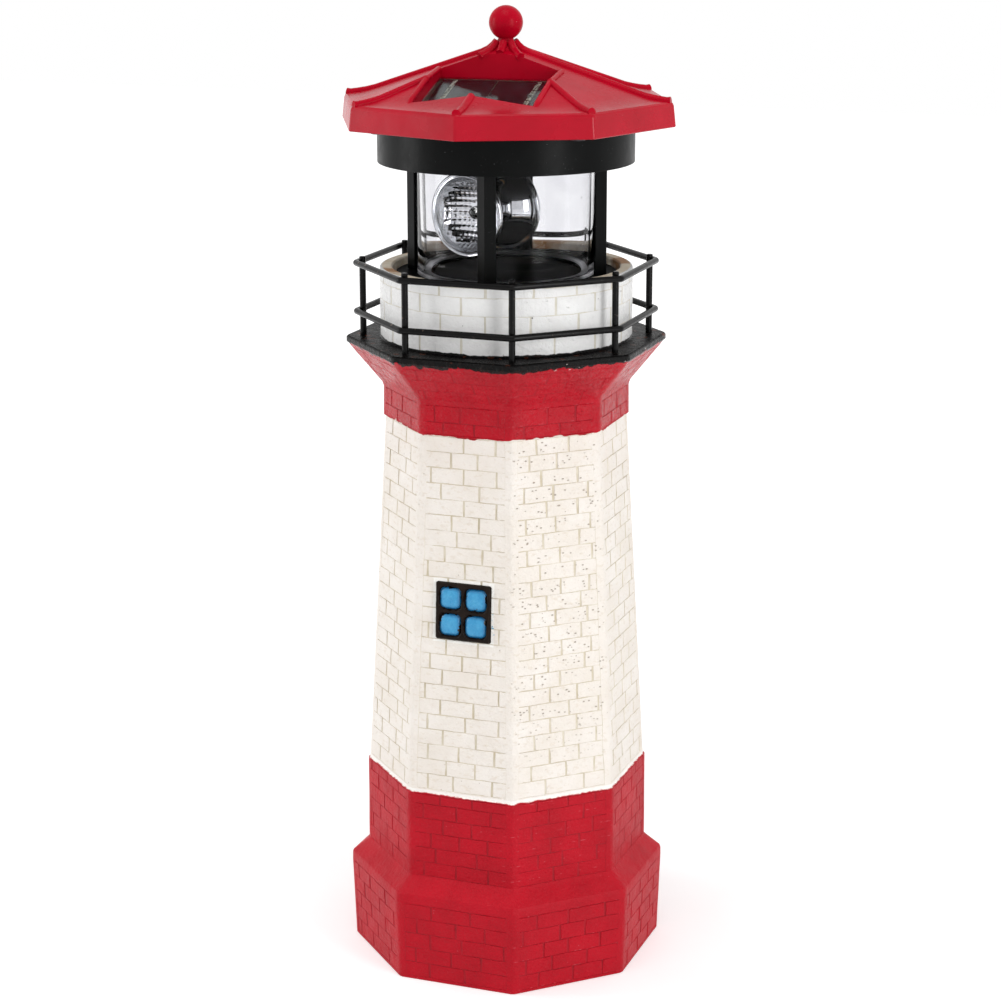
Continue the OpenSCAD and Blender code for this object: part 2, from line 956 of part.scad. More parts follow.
// A gap of the wheel faces the pinion at rest
module beacon_gear() {
    color([0.9, 0.9, 0.85])
        in_lantern()
            translate([-axis_offset, 0, 0])
                difference() {
                    union() {
                        translate([0, 0, gear_low])
                            rotate([0, 0, 180 / gear_teeth])
                                spur_gear(gear_teeth, gear_thickness);
                        translate([0, 0, gear_hub_low])
                            cylinder(r = 4, h = gear_hub_top - gear_hub_low, $fn = small);
                    }
                    translate([0, 0, gear_hub_low - cut])
                        cylinder(r = spindle_radius - hair, $fn = small,
                                 h = gear_hub_top - gear_hub_low + 2 * cut);
                }
}

module slip_rings() {
    color([0.8, 0.6, 0.25])
        in_beacon()
            for (level = ring_levels)
                translate([0, 0, level])
                    tube(ring_radius, spindle_radius - hair, ring_height, $fn = small);
}

module beacon_hub() {
    color([0.06, 0.06, 0.06])
        in_beacon()
            difference() {
                union() {
                    translate([0, hub_half, beacon_height])
                        rotate([90, 0, 0])
                            cylinder(r = hub_radius, h = 2 * hub_half, $fn = small);
                    translate([-2, -hub_half, beacon_height])
                        cube([4, 2 * hub_half, neck_low - beacon_height + cut]);
                    translate([0, 0, neck_low])
                        cylinder(r = 3.5, h = neck_top - neck_low, $fn = small);
                }
                translate([0, 0, neck_low + cut])
                    cylinder(r = spindle_radius - hair, h = neck_top - neck_low, $fn = small);
                both_ways()
                    translate([0, -hub_half - cut, beacon_height])
                        rotate([-90, 0, 0])
                            cylinder(r = lamp_hole, h = cut + lamp_seat + hair, $fn = small);
            }
}

// Puts a child at the front of the head and another at its rear
module both_ways() {
    for (turn = [0, 180])
        rotate([0, 0, turn])
            children();
}

// Bowl section as radius and depth behind the rim; a curve between a
// parabola and a round bowl
function bowl_curve(radius, depth) = [
    for (i = [0:bowl_steps])
        let (t = i / bowl_steps)
            [lamp_hole + (radius - lamp_hole) * sin(90 * t),
             depth * (1 - pow(1 - cos(90 * t), 0.95))]
];

module reflector_shape() {
    inner = bowl_curve(bowl_radius - 1.2, bowl_depth - bowl_wall);
    outer = bowl_curve(bowl_radius, bowl_depth);
    rim = [[rim_radius - 0.9, 0], [rim_radius, 0.5], [rim_radius, 1.8], [bowl_radius, 1.8]];
    rotate_extrude($fn = fine)
        polygon(concat(inner, rim, [for (i = [bowl_steps - 1:-1:0]) outer[i]]));
}

module reflector_at(turn) {
    color([0.85, 0.86, 0.88])
        in_beacon()
            rotate([0, 0, turn])
                translate([0, -rim_half, beacon_height])
                    rotate([-90, 0, 0])
                        reflector_shape();
}

module reflector_front() {
    reflector_at(0);
}

module reflector_rear() {
    reflector_at(180);
}

module lamps() {
    color([0.95, 0.95, 0.9, 0.6])
        in_beacon()
            both_ways()
                translate([0, lamp_seat - hub_half, beacon_height])
                    rotate([90, 0, 0])
                        union() {
                            cylinder(r = lamp_radius, h = lamp_length, $fn = small);
                            translate([0, 0, lamp_length])
                                sphere(r = lamp_radius, $fn = small);
                        }
}

// ---- Battery, circuit and switch ----

module battery_holder() {
    bay = cell_length + 2 * (contact_thickness + contact_bump + glue_gap);
    color([0.08, 0.08, 0.08])
        in_lantern()
            translate([0, battery_y, cap_inside])
                difference() {
                    translate([-holder_length / 2, -holder_width / 2, 0])
                        cube([holder_length, holder_width, holder_height]);
                    translate([-bay / 2, holder_floor - holder_width / 2, holder_floor])
                        cube([bay, holder_width - 2 * holder_floor, holder_height]);
                }
}

module battery() {
    color([0.15, 0.4, 0.25])
        in_lantern()
            translate([-cell_length / 2, battery_y, battery_z])
                rotate([0, 90, 0])
                    union() {
                        cylinder(r = cell_radius, h = cell_length - 1);
                        cylinder(r = cell_button_radius, h = cell_length, $fn = small);
                    }
}

// A spring plate at each end of the cell, with a bump towards it
module battery_contacts() {
    half = cell_length / 2 + glue_gap / 2;
    color([0.8, 0.8, 0.78])
        in_lantern()
            translate([0, battery_y, battery_z])
                both_ways()
                    rotate([0, 90, 0])
                        union() {
                            translate([-contact_side / 2, -contact_side / 2, half + contact_bump])
                                cube([contact_side, contact_side, contact_thickness]);
                            translate([0, 0, half])
                                cylinder(r = contact_bump_radius, h = contact_bump + hair, $fn = small);
                        }
}

module circuit_board() {
    low = board_top - circuit_thickness;
    color([0.1, 0.35, 0.15])
        in_lantern()
            union() {
                translate([-board_width / 2, board_y, low])
                    cube([board_width, board_depth, circuit_thickness]);
                for (x = [-board_leg_x, board_leg_x])
                    translate([x, board_y + board_depth / 2, cap_inside])
                        cylinder(r = board_leg_radius, h = low - cap_inside + weld, $fn = small);
            }
}

// A chip, a round capacitor and a coil, standing on the board
module board_parts() {
    color([0.05, 0.05, 0.06])
        in_lantern()
            translate([0, board_y + parts_y, board_top])
                union() {
                    translate([chip_size[0] / 2, -chip_size[1] / 2, 0])
                        cube(chip_size);
                    translate([board_leg_x - 1, 0, 0])
                        cylinder(r = capacitor_radius, h = capacitor_height, $fn = small);
                    translate([-board_leg_x - coil_size[0] / 2, -coil_size[1] / 2, 0])
                        cube(coil_size);
                }
}

// Post on the board with a slot for each brush
module brush_block() {
    color([0.85, 0.83, 0.75])
        in_lantern()
            difference() {
                translate([brush_x - block_width / 2, block_y, board_top])
                    cube([block_width, block_depth, ring_levels[1] + ring_height + 1 - board_top]);
                for (level = ring_levels)
                    translate([brush_x - brush_thickness / 2 - glue_gap, block_y + 1,
                               level + (ring_height - brush_height) / 2 - glue_gap])
                        cube([brush_thickness + 2 * glue_gap, block_depth,
                              brush_height + 2 * glue_gap]);
            }
}

// Two flat springs that stop just short of the slip rings
module brushes() {
    root = block_y + 1 + glue_gap;
    tip = -ring_radius - 0.3;
    color([0.8, 0.6, 0.25])
        in_lantern()
            for (level = ring_levels)
                translate([brush_x - brush_thickness / 2, root,
                           level + (ring_height - brush_height) / 2])
                    cube([brush_thickness, tip - root, brush_height]);
}

module switch_housing() {
    depth = 3.6;
    play = 0.3;
    pocket_depth = slider_thickness + 0.6;
    pocket_width = nub_width + 3.8;
    color([0.1, 0.1, 0.1])
        in_lantern()
            difference() {
                translate([-4.5, switch_front - depth, cap_inside])
                    cube([9, depth, nub_low + nub_height + switch_travel + 3 - cap_inside]);
                translate([-pocket_width / 2, switch_front - pocket_depth,
                           nub_low - plate_margin - play])
                    cube([pocket_width, pocket_depth + cut,
                          nub_height + switch_travel + 2 * (plate_margin + play)]);
            }
}

// A plate in the housing's pocket with a nub that reaches out through the cap
module switch_slider() {
    back = switch_front - slider_thickness - 0.3;
    width = nub_width + 3.2;
    color([0.85, 0.85, 0.85])
        in_lantern()
            union() {
                translate([-width / 2, back, nub_low - plate_margin])
                    cube([width, slider_thickness, nub_height + 2 * plate_margin]);
                translate([-nub_width / 2, back, nub_low])
                    cube([nub_width, cap_radius + 1.2 - back, nub_height]);
            }
}

tower_shell();
base_plate();
window_frame();
window_panes();
upper_rail();
lower_rail();
railing_posts();
lantern_base();
lantern_posts();
clear_tube();
cap();
roof();
finial();
roof_screws();
panel_board();
solar_cells();
cell_ribbons();
panel_glass();
spindle_bushing();
motor();
motor_bracket();
bracket_screws();
battery_holder();
battery();
battery_contacts();
circuit_board();
board_parts();
brush_block();
brushes();
switch_housing();
switch_slider();
motor_shaft();
motor_pinion();
spindle();
beacon_gear();
slip_rings();
beacon_hub();
reflector_front();
reflector_rear();
lamps();
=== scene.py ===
import math
import random

import bmesh
import bpy
from mathutils import Matrix, Vector, noise


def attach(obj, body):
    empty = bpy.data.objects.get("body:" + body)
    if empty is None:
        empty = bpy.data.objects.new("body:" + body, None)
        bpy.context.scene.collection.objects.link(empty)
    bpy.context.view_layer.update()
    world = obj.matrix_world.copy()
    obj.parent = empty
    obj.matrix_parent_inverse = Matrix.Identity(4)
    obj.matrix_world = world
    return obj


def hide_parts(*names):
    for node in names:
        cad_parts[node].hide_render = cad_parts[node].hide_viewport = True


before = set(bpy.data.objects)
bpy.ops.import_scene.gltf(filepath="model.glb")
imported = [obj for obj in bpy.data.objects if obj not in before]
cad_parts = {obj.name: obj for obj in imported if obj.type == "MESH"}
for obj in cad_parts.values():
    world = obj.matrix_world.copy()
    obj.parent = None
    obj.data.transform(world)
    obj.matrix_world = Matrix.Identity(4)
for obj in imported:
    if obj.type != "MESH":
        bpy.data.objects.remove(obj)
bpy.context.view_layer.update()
scene = bpy.context.scene
mm = 0.001
halfSide = math.radians(22.5)   # half the turn from one side of an octagon to the next
flat = math.cos(halfSide)       # an octagon's apothem over its corner radius
pureWhite = (255, 255, 255)


def colour(values):   # 0..255 as seen on a screen, to what a shader wants
    def linear(value):
        share = value / 255
        return share / 12.92 if share <= 0.04045 else ((share + 0.055) / 1.055) ** 2.4
    return (*map(linear, values), 1)


class Nodes:
    # short calls that build a node tree

    def __init__(self, tree):
        self.tree = tree
        tree.nodes.clear()

    def add(self, kind, settings=None, **sockets):
        node = self.tree.nodes.new(kind)
        for label, value in (settings or {}).items():
            setattr(node, label, value)
        for label, value in sockets.items():
            self.feed(node.inputs[label.replace("_", " ")], value)
        return node

    def feed(self, socket, value):
        if isinstance(value, bpy.types.NodeSocket):
            self.tree.links.new(value, socket)
        else:
            socket.default_value = value

    def fed(self, kind, *values, **settings):   # a node fed in its sockets' order, for its first output
        node = self.add(kind, settings)
        for socket, value in zip(node.inputs, values):
            self.feed(socket, value)
        return node.outputs[0]

    def math(self, operation, first, second=0.0):
        return self.fed("ShaderNodeMath", first, second, operation=operation)

    def plus(self, first, second):
        return self.math("ADD", first, second)

    def minus(self, first, second):
        return self.math("SUBTRACT", first, second)

    def most(self, first, second):
        return self.math("MAXIMUM", first, second)

    def times(self, first, *others):
        for other in others:
            first = self.math("MULTIPLY", first, other)
        return first


class Finish(Nodes):
    # a material on one Principled shader; sizes are in millimetres

    def __init__(self, name, **sockets):
        self.material = bpy.data.materials.new(name)
        self.material.use_nodes = True
        super().__init__(self.material.node_tree)
        self.output = self.add("ShaderNodeOutputMaterial").inputs[0]
        self.shader = self.add("ShaderNodeBsdfPrincipled")
        self.feed(self.output, self.shader.outputs[0])
        self.place = self.add("ShaderNodeTexCoord").outputs["Object"]
        for label, value in sockets.items():
            self.set(label.replace("_", " "), value)

    def set(self, label, value):
        self.feed(self.shader.inputs[label], value)

    def noise(self, size, detail=3.0, roughness=0.55, place=None):
        return self.add("ShaderNodeTexNoise", Vector=place or self.place, Scale=1 / (size * mm),
                        Detail=detail, Roughness=roughness).outputs["Fac"]

    def cells(self, size, place=None):
        return self.add("ShaderNodeTexVoronoi", Vector=place or self.place,
                        Scale=1 / (size * mm)).outputs["Distance"]

    def ramp(self, value, low, high, start=0.0, end=1.0):
        return self.add("ShaderNodeMapRange", Value=value, From_Min=low, From_Max=high,
                        To_Min=start, To_Max=end).outputs["Result"]

    def mix(self, share, first, second):   # a colour is another mix, or 0..255 as on a screen
        node = self.add("ShaderNodeMix", {"data_type": "RGBA"}, Factor=share)
        for label, value in (("A", first), ("B", second)):
            self.feed(node.inputs[label], colour(value) if isinstance(value, tuple) else value)
        return node.outputs["Result"]

    def along(self, letter):   # a coordinate in millimetres
        split = self.add("ShaderNodeSeparateXYZ", Vector=self.place)
        return self.times(split.outputs[letter], 1 / mm)

    def inside(self, value, low, high, soft=0.1):   # 1 between two values, 0 outside
        return self.times(self.ramp(value, low - soft, low + soft),
                          self.ramp(value, high + soft, high - soft))

    def patches(self, size, detail, low, high, start=0.0, end=1.0):   # soft areas of noise
        return self.ramp(self.noise(size, detail), low, high, start, end)

    def spots(self, size, reach, patchSize, sparse):   # small round spots, gathered in patches
        return self.times(self.ramp(self.cells(size), reach, reach * 0.7),
                          self.patches(patchSize, 2, sparse, sparse + 0.05))

    def lines(self, value, pitch, width):   # 1 on thin parallel lines, a pitch apart
        return self.ramp(self.math("PINGPONG", value, pitch / 2), width / 2, width / 2 * 0.6)

    def stretched(self, *scale):   # the pattern's coordinates, drawn out along an axis
        return self.add("ShaderNodeMapping", Vector=self.place, Scale=scale).outputs[0]

    def tones(self, size, detail, first, second, low=0.3, high=0.7):   # two colours in soft patches
        return self.mix(self.patches(size, detail, low, high), first, second)

    def paint(self, tint):
        self.set("Base Color", tint)

    def rough(self, size, low, high, detail=3, start=0.2):
        self.set("Roughness", self.patches(size, detail, start, 0.8, low, high))

    def bump(self, height, depth, strength=1.0):
        node = self.add("ShaderNodeBump", Distance=depth * mm, Strength=strength, Height=height)
        normal = self.shader.inputs["Normal"]
        if normal.is_linked:
            self.feed(node.inputs["Normal"], normal.links[0].from_socket)
        self.feed(normal, node.outputs[0])

    def grain(self, *layers):   # bumps of noise: the size, detail and depth of each
        for size, detail, depth in layers:
            self.bump(self.noise(size, detail), depth)


class Recipe(Nodes):
    # a Geometry Nodes tree with named inputs

    def __init__(self, name, **inputs):
        super().__init__(bpy.data.node_groups.new(name, "GeometryNodeTree"))
        newSocket = self.tree.interface.new_socket
        kinds = {float: "NodeSocketFloat", int: "NodeSocketInt"}
        newSocket("Geometry", in_out="INPUT", socket_type="NodeSocketGeometry")
        for label, value in inputs.items():
            kind = kinds.get(type(value), "NodeSocketMaterial")
            newSocket(label, in_out="INPUT", socket_type=kind).default_value = value
        newSocket("Geometry", in_out="OUTPUT", socket_type="NodeSocketGeometry")
        self.start = self.add("NodeGroupInput").outputs
        self.end = self.add("NodeGroupOutput").inputs[0]

    def finish(self, geometry, material):   # every tree ends in whole meshes with their material
        whole = self.add("GeometryNodeRealizeInstances", Geometry=geometry)
        painted = self.add("GeometryNodeSetMaterial", Geometry=whole.outputs[0], Material=material)
        self.feed(self.end, painted.outputs[0])
        return painted.outputs[0]

    def use(self, piece, **values):   # the sizes go in by each socket's identifier
        modifier = piece.modifiers.new(self.tree.name, "NODES")
        modifier.node_group = self.tree
        for item in self.tree.interface.items_tree:
            if item.in_out == "INPUT" and item.name in values:
                modifier[item.identifier] = values[item.name]
        return settle(piece)


def newPiece(name, mesh, material=None):
    piece = bpy.data.objects.new(name, mesh)
    scene.collection.objects.link(piece)
    if material:
        mesh.materials.append(material)
    return piece


def meshFrom(name, points, faces, edges=()):   # points in millimetres
    mesh = bpy.data.meshes.new(name)
    mesh.from_pydata([Vector(point) * mm for point in points], edges, faces)
    mesh.update()
    return mesh


def quads(rows, count, first=0, ring=True, loop=False):
    # between rows of points: ring joins a row's ends, loop the last row to the first
    faces = []
    for row in range(rows if loop else rows - 1):
        low, high = first + row * count, first + (row + 1) % rows * count
        for step in range(count if ring else count - 1):
            after = (step + 1) % count
            faces.append((low + step, low + after, high + after, high + step))
    return faces


def cappedQuads(rows, count):   # the same rings, closed at the bottom and the top
    ends = [tuple(reversed(range(count))), tuple(range((rows - 1) * count, rows * count))]
    return quads(rows, count) + ends


def mended(mesh):   # doubles merged and faces turned outwards
    shape = bmesh.new()
    shape.from_mesh(mesh)
    bmesh.ops.remove_doubles(shape, verts=shape.verts, dist=0.0005 * mm)
    bmesh.ops.recalc_face_normals(shape, faces=shape.faces)
    shape.to_mesh(mesh)
    shape.free()
    return mesh


def smoothEdges(mesh, angle):   # smooth shading, but sharp where faces meet steeply
    mesh.shade_smooth()
    mesh.set_sharp_from_angle(angle=math.radians(angle))


def settle(piece):   # what the modifiers make becomes the piece's own plain mesh
    bpy.context.view_layer.update()
    evaluated = piece.evaluated_get(bpy.context.evaluated_depsgraph_get())
    mesh = bpy.data.meshes.new_from_object(evaluated)
    piece.modifiers.clear()
    piece.data = mesh
    return piece


def cleanCopy(node, name):   # a merged copy of a CAD node's mesh, with whole flat faces
    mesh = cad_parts[node].data.copy()
    mesh.materials.clear()
    shape = bmesh.new()
    shape.from_mesh(mesh)
    bmesh.ops.remove_doubles(shape, verts=shape.verts, dist=0.002 * mm)
    bmesh.ops.dissolve_limit(shape, angle_limit=math.radians(0.6), verts=shape.verts,
                             edges=shape.edges)
    shape.to_mesh(mesh)
    shape.free()
    return newPiece(name, mesh)


def softened(piece, width, segments=2, angle=30, sharp=30):   # rounded edges; flats stay flat
    smoothEdges(piece.data, sharp)
    bevel = piece.modifiers.new("softEdges", "BEVEL")
    bevel.width = width * mm
    bevel.segments = segments
    bevel.limit_method = "ANGLE"
    bevel.angle_limit = math.radians(angle)
    bevel.use_clamp_overlap = True
    weighted = piece.modifiers.new("flatFaces", "WEIGHTED_NORMAL")
    weighted.keep_sharp = True
    return settle(piece)


def fit(piece, body, slot, *nodes):   # rides on its body and stands for its CAD nodes
    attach(piece, body)
    if nodes:
        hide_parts(*nodes)


def bevelledCopy(node, name, material, width, body, slot):
    piece = softened(cleanCopy(node, name), width)
    piece.data.materials.append(material)
    fit(piece, body, slot, node)


def upright(radius, angle, height):
    return Vector((radius * math.cos(angle), radius * math.sin(angle), height))


def spun(name, profile, steps, place=upright, loop=True):
    # a profile of radius and height, listed upwards on its outside; place gives each point
    points = [place(radius, 2 * math.pi * step / steps, height)
              for radius, height in profile for step in range(steps)]
    return mended(meshFrom(name, points, quads(len(profile), steps, loop=loop)))


def carved(piece, cutter):
    cut = piece.modifiers.new("carve", "BOOLEAN")
    cut.object, cut.operation, cut.solver = cutter, "DIFFERENCE", "EXACT"
    settle(piece)
    bpy.data.objects.remove(cutter)


# Camera, floor and light

shot = {
    "azimuth": 20.52,        # degrees to the right of the window's face
    "elevation": 14.81,
    "distance": 961.8,       # millimetres
    "target": (-2.16, -0.81, 175.5),
    "lens": 91.2,
    "roll": -0.11,
}
studio = {
    "ambient": 0.62,         # the room's soft light
    "softboxes": {           # power, width and height, place
        "keyRight": (5.0, (350, 700), (950, -500, 420)),
        "fillLeft": (4.1, (350, 700), (-1000, -320, 400)),
        "overhead": (2.2, (500, 500), (0, -200, 1100)),
    },
    "aim": (0, 0, 170),
    "floor": ((238, 238, 238), (232, 232, 232)),
    "floorReach": 3000,
    "floorHeight": -0.2,
    "lift": (0.36, 0.66),    # raises the floor that the lens sees to the backdrop's white
    "liftFrom": (0.15, 0.9),   # metres, where the lift is least and where it is most
}


def makeCamera():
    azimuth, elevation = math.radians(shot["azimuth"]), math.radians(shot["elevation"])
    back = Vector((math.sin(azimuth) * math.cos(elevation),
                   -math.cos(azimuth) * math.cos(elevation), math.sin(elevation)))
    camera = bpy.data.objects.new("camera", bpy.data.cameras.new("camera"))
    scene.collection.objects.link(camera)
    camera.data.sensor_width = 36
    camera.data.lens = shot["lens"]
    camera.data.clip_start, camera.data.clip_end = 0.01, 20
    camera.location = (Vector(shot["target"]) + back * shot["distance"]) * mm
    turn = (-back).to_track_quat("-Z", "Y").to_matrix()
    camera.rotation_euler = (turn @ Matrix.Rotation(math.radians(shot["roll"]), 3, "Z")).to_euler()
    scene.camera = camera


def seenDirectly(nodes):   # 1 for what the lens, a mirror or glass sees; 0 for what lights the object
    rays = nodes.add("ShaderNodeLightPath").outputs
    return nodes.most(nodes.most(rays["Is Camera Ray"], rays["Is Glossy Ray"]),
                      rays["Is Transmission Ray"])


def makeWorld():
    world = bpy.data.worlds.new("studio")
    world.use_nodes = True
    scene.world = world
    nodes = Nodes(world.node_tree)
    ambient, backdrop = (nodes.fed("ShaderNodeBackground", colour(pureWhite), strength)
                         for strength in (studio["ambient"], 1))
    sky = nodes.fed("ShaderNodeMixShader", seenDirectly(nodes), ambient, backdrop)
    nodes.feed(nodes.add("ShaderNodeOutputWorld").inputs[0], sky)


def makeFloor():
    finish = Finish("paleFloor", Roughness=0.9, Specular_IOR_Level=0.1)
    finish.paint(finish.tones(60, 3, *studio["floor"]))
    span = finish.add("ShaderNodeVectorMath", {"operation": "LENGTH"}, Vector=finish.place)
    strength = finish.ramp(span.outputs["Value"], *studio["liftFrom"], *studio["lift"])
    lift = finish.fed("ShaderNodeEmission", colour(pureWhite),
                      finish.times(seenDirectly(finish), strength))
    finish.feed(finish.output, finish.fed("ShaderNodeAddShader", finish.shader.outputs[0], lift))
    reach, height = studio["floorReach"], studio["floorHeight"]
    corners = [(x * reach, y * reach, height) for x, y in ((-1, -1), (1, -1), (1, 1), (-1, 1))]
    newPiece("floor", meshFrom("floor", corners, [(0, 1, 2, 3)]), finish.material)


def makeSoftboxes():
    for name, (power, size, place) in studio["softboxes"].items():
        light = bpy.data.lights.new(name, "AREA")
        light.shape = "RECTANGLE"
        light.size, light.size_y = size[0] * mm, size[1] * mm
        light.energy = power
        lamp = bpy.data.objects.new(name, light)
        scene.collection.objects.link(lamp)
        lamp.location = Vector(place) * mm
        away = Vector(place) - Vector(studio["aim"])
        lamp.rotation_euler = away.to_track_quat("Z", "Y").to_euler()


makeCamera()
makeWorld()
makeFloor()
makeSoftboxes()
scene.view_settings.view_transform = "Standard"
print("stage: studio ready")


# Tower: a painted resin casting with brickwork

tower = {
    # from the ground up: height, corner radius, and how deep the joints are there
    "outline": [
        (0.0, 59.7, 0), (0.9, 59.75, 0), (1.1, 59.76, 1), (30.7, 60.85, 1), (30.9, 60.85, 0),
        (33.8, 60.8, 0), (34.6, 60.5, 0), (35.0, 60.0, 0), (38.7, 55.5, 0), (39.6, 54.5, 0),
        (40.1, 54.2, 0), (40.3, 54.2, 1), (73.0, 54.0, 1), (73.2, 54.0, 0), (73.5, 53.3, 0),
        (74.9, 53.25, 0), (75.1, 53.2, 1), (209.0, 45.62, 1), (209.2, 45.6, 0), (209.5, 46.2, 0),
        (209.7, 46.3, 0), (209.9, 46.3, 1), (220.4, 46.2, 1), (220.6, 46.2, 0), (222.2, 46.7, 0),
        (222.6, 47.0, 0.4), (235.4, 57.7, 0.4), (235.7, 57.9, 0), (237.0, 58.9, 0),
        (237.8, 59.8, 0), (239.3, 59.8, 0), (239.8, 59.45, 0), (240.0, 59.1, 0)],
    # of the hollow inside, from the ground up
    "cavity": [(0.0, 53.2), (3.0, 53.2), (3.0, 51.2), (30.0, 51.2), (40.0, 48.3), (68.4, 48.3),
               (209.5, 40.6), (232.0, 40.6)],
    "ridge": 0.8,               # smooth strip at each ridge
    "ridgeRound": 0.28,
    "waver": 0.1,               # how far a wall sinks in places
    "bandTop": 73.4,
    "beltBottom": 209.5,
    "beltTop": 221.0,
    "deckHeight": 240.0,
    "drumRadius": 46.9,
    "drumTop": 266.0,
    "boreRadius": 42.1,
    "seatHeight": 260.5,
    "socketRadius": 38.1,
    "socketFloor": 243.5,
    "seed": 7,
}
bricks = {
    "relief": 0.24,             # how far they stand out of the joints
    "course": 5.83,
    "firstJoint": 75.1,
    "jointHigh": 0.24,          # width of a level joint
    "jointWide": 0.74,          # width of an upright joint
    "margin": 2.6,              # plain strip beside each ridge
    "topShrink": 0.965,
    "lumps": 0.11,
    "shallow": (222, 239),      # between these heights they hardly stand out
    "jitter": 0.13,             # of a brick's edges
    "starts": [-1.0, -5.0, 2.6, -3.4, 4.3, 0.8, -2.2, 3.5],   # of the courses on each face
    "uneven": (1.2, 1.9),       # of a course and of one joint
    "drumLevels": [240.5, 247.4, 254.8, 261.4, 264.8],
    "drumCount": 17,
    "drumJoint": 0.84,
}
paints = {   # one tone, or two that lie in patches
    "white": ((245, 239, 232), (238, 230, 220)),
    "whiteGrazed": (226, 214, 198),
    "red": ((188, 7, 32), (172, 6, 28)),
    # pale pink for rubbed spots of wear, and for painted highlights on the lower edges of the red courses
    "redWornAndGlint": (225, 120, 130),
    "black": ((7, 6, 6), (24, 17, 14)),
    "strip": (255, 253, 248),          # the clean edges beside the red band and the window
    "drum": ((246, 246, 245), (238, 237, 236)),
    "drumSpeck": (60, 52, 46),
    "jointOnWhite": ((200, 187, 160), (228, 220, 204)),
    "jointOnRed": ((146, 6, 24), (178, 8, 32)),
    "jointOnDrum": ((210, 204, 188), (230, 226, 217)),
    "pit": (150, 132, 110),
    "speck": (70, 165, 205),           # window paint that missed
    "chip": (238, 226, 220),
    "stain": (96, 48, 30),
    "socket": ((214, 196, 168), (232, 223, 206)),
    "socketStain": (160, 112, 62),
}
window = {   # the tower's paint reads it as well
    "height": 144.4,       # of its centre
    "size": 21.8,
    "relief": 1.2,
    "corner": 1.0,
    "steps": 84,
    "pane": 8.3,
    "panePitch": 10.0,
    "paneCorner": 2.4,
    "paneSteps": 22,
    "halo": 12.1,          # half the clean white square round it
    "seed": 5,
}
sideSteps = 16   # points on each side of the tower, as wallRing lays them


def zoneColours(finish, light, dark, black, drum):   # paint by height, with hand-brushed borders
    wobble = finish.patches(9, 2, 0.25, 0.75, -0.5, 0.5)
    fine = finish.patches(2.2, 3, 0.25, 0.75, -0.22, 0.22)
    calm = finish.plus(finish.along("Z"), fine)
    level = finish.plus(calm, wobble)
    dripping = finish.plus(level, finish.patches(5, 2, 0.25, 0.75, -1.3, 1.3))
    lapping = finish.plus(level, finish.patches(5, 2, 0.25, 0.75, -0.7, 0.9))
    borders = [(calm, tower["bandTop"], light), (lapping, tower["beltBottom"] + 0.1, dark),
               (dripping, tower["deckHeight"] - 3.1, black), (level, tower["deckHeight"] + 0.9, drum)]
    result = dark
    for height, border, above in borders:
        result = finish.mix(finish.ramp(height, border - 0.12, border + 0.12), result, above)
    return result, level


def whitePaint(finish, across, deep, height, clouds):
    white = finish.mix(clouds, *paints["white"])
    grazed = finish.noise(1.5, 4, 0.6, finish.stretched(0.6, 0.6, 1.1))
    white = finish.mix(finish.ramp(grazed, 0.56, 0.66, 0, 0.5), white, paints["whiteGrazed"])
    # clean white beside the red band and round the window
    onFront = finish.ramp(deep, -38, -40)
    rise = finish.math("ABSOLUTE", finish.minus(height, window["height"]))
    beside = finish.most(finish.math("ABSOLUTE", across), rise)
    halo = finish.times(finish.ramp(beside, window["halo"], window["halo"] - 0.3), onFront)
    strip = finish.ramp(height, tower["bandTop"] + 1.4, tower["bandTop"] + 1)
    white = finish.mix(finish.most(halo, strip), white, paints["strip"])
    missed = finish.times(finish.inside(across, 11.1, 12.2), finish.inside(height, 137, 147),
                          finish.patches(1.3, 1, 0.6, 0.63), onFront)
    return finish.mix(missed, white, paints["speck"])


def facingRight(finish, across, deep):   # 1 where the wall faces as the face right of the window's
    spread = finish.math("SQRT", finish.plus(finish.times(across, across), finish.times(deep, deep)))
    return finish.math("DIVIDE", finish.times(finish.minus(across, deep), math.sqrt(0.5)), spread)


def pitting(finish, height, toRight):   # small pits, thickest on the face right of the window's
    inCourse = finish.math("PINGPONG", finish.minus(height, bricks["firstJoint"]),
                           bricks["course"] / 2)
    onRight = finish.times(finish.ramp(toRight, 0.91, 0.94), finish.ramp(height, 78, 110),
                           finish.ramp(inCourse, 0.8, 1.2))
    dash = finish.ramp(finish.cells(1.5, finish.stretched(0.7, 0.7, 1.2)), 0.25, 0.17)
    dense = finish.times(dash, finish.patches(4.2, 2, 0.46, 0.5), onRight)
    return finish.most(dense, finish.times(finish.spots(2.6, 0.13, 6, 0.6), 0.6))


def redPaint(finish, height, toRight, clouds):
    red = finish.mix(clouds, *paints["red"])
    rubbed = finish.times(finish.spots(1.7, 0.12, 9, 0.62), 0.5)
    # painted highlights along the lower edges of some courses, strongest on the face right of the window,
    # but not on the plinth's shoulder
    edges = finish.times(finish.lines(finish.minus(height, 1.3), 5.93, 0.34),
                         finish.ramp(toRight, 0.88, 0.93, 0.15, 1),
                         finish.patches(1.8, 3, 0.56, 0.64))
    edges = finish.times(finish.minus(edges, finish.inside(height, 31, 41)), 0.35)
    # the spots are rubbed wear; the edge lines are painted highlights
    return finish.mix(finish.most(rubbed, edges), red, paints["redWornAndGlint"])


def deckMarks(finish, painted, level):
    # chips of bare white along the black edge, and brown stains round the posts' feet
    chips = finish.times(finish.inside(level, 236.9, 238.9, 0.3), finish.patches(2.2, 4, 0.685, 0.7))
    painted = finish.mix(chips, painted, paints["chip"])
    stain = finish.times(finish.inside(level, 238.9, 240.6, 0.2), finish.patches(6, 3, 0.62, 0.67), 0.6)
    return finish.mix(stain, painted, paints["stain"])


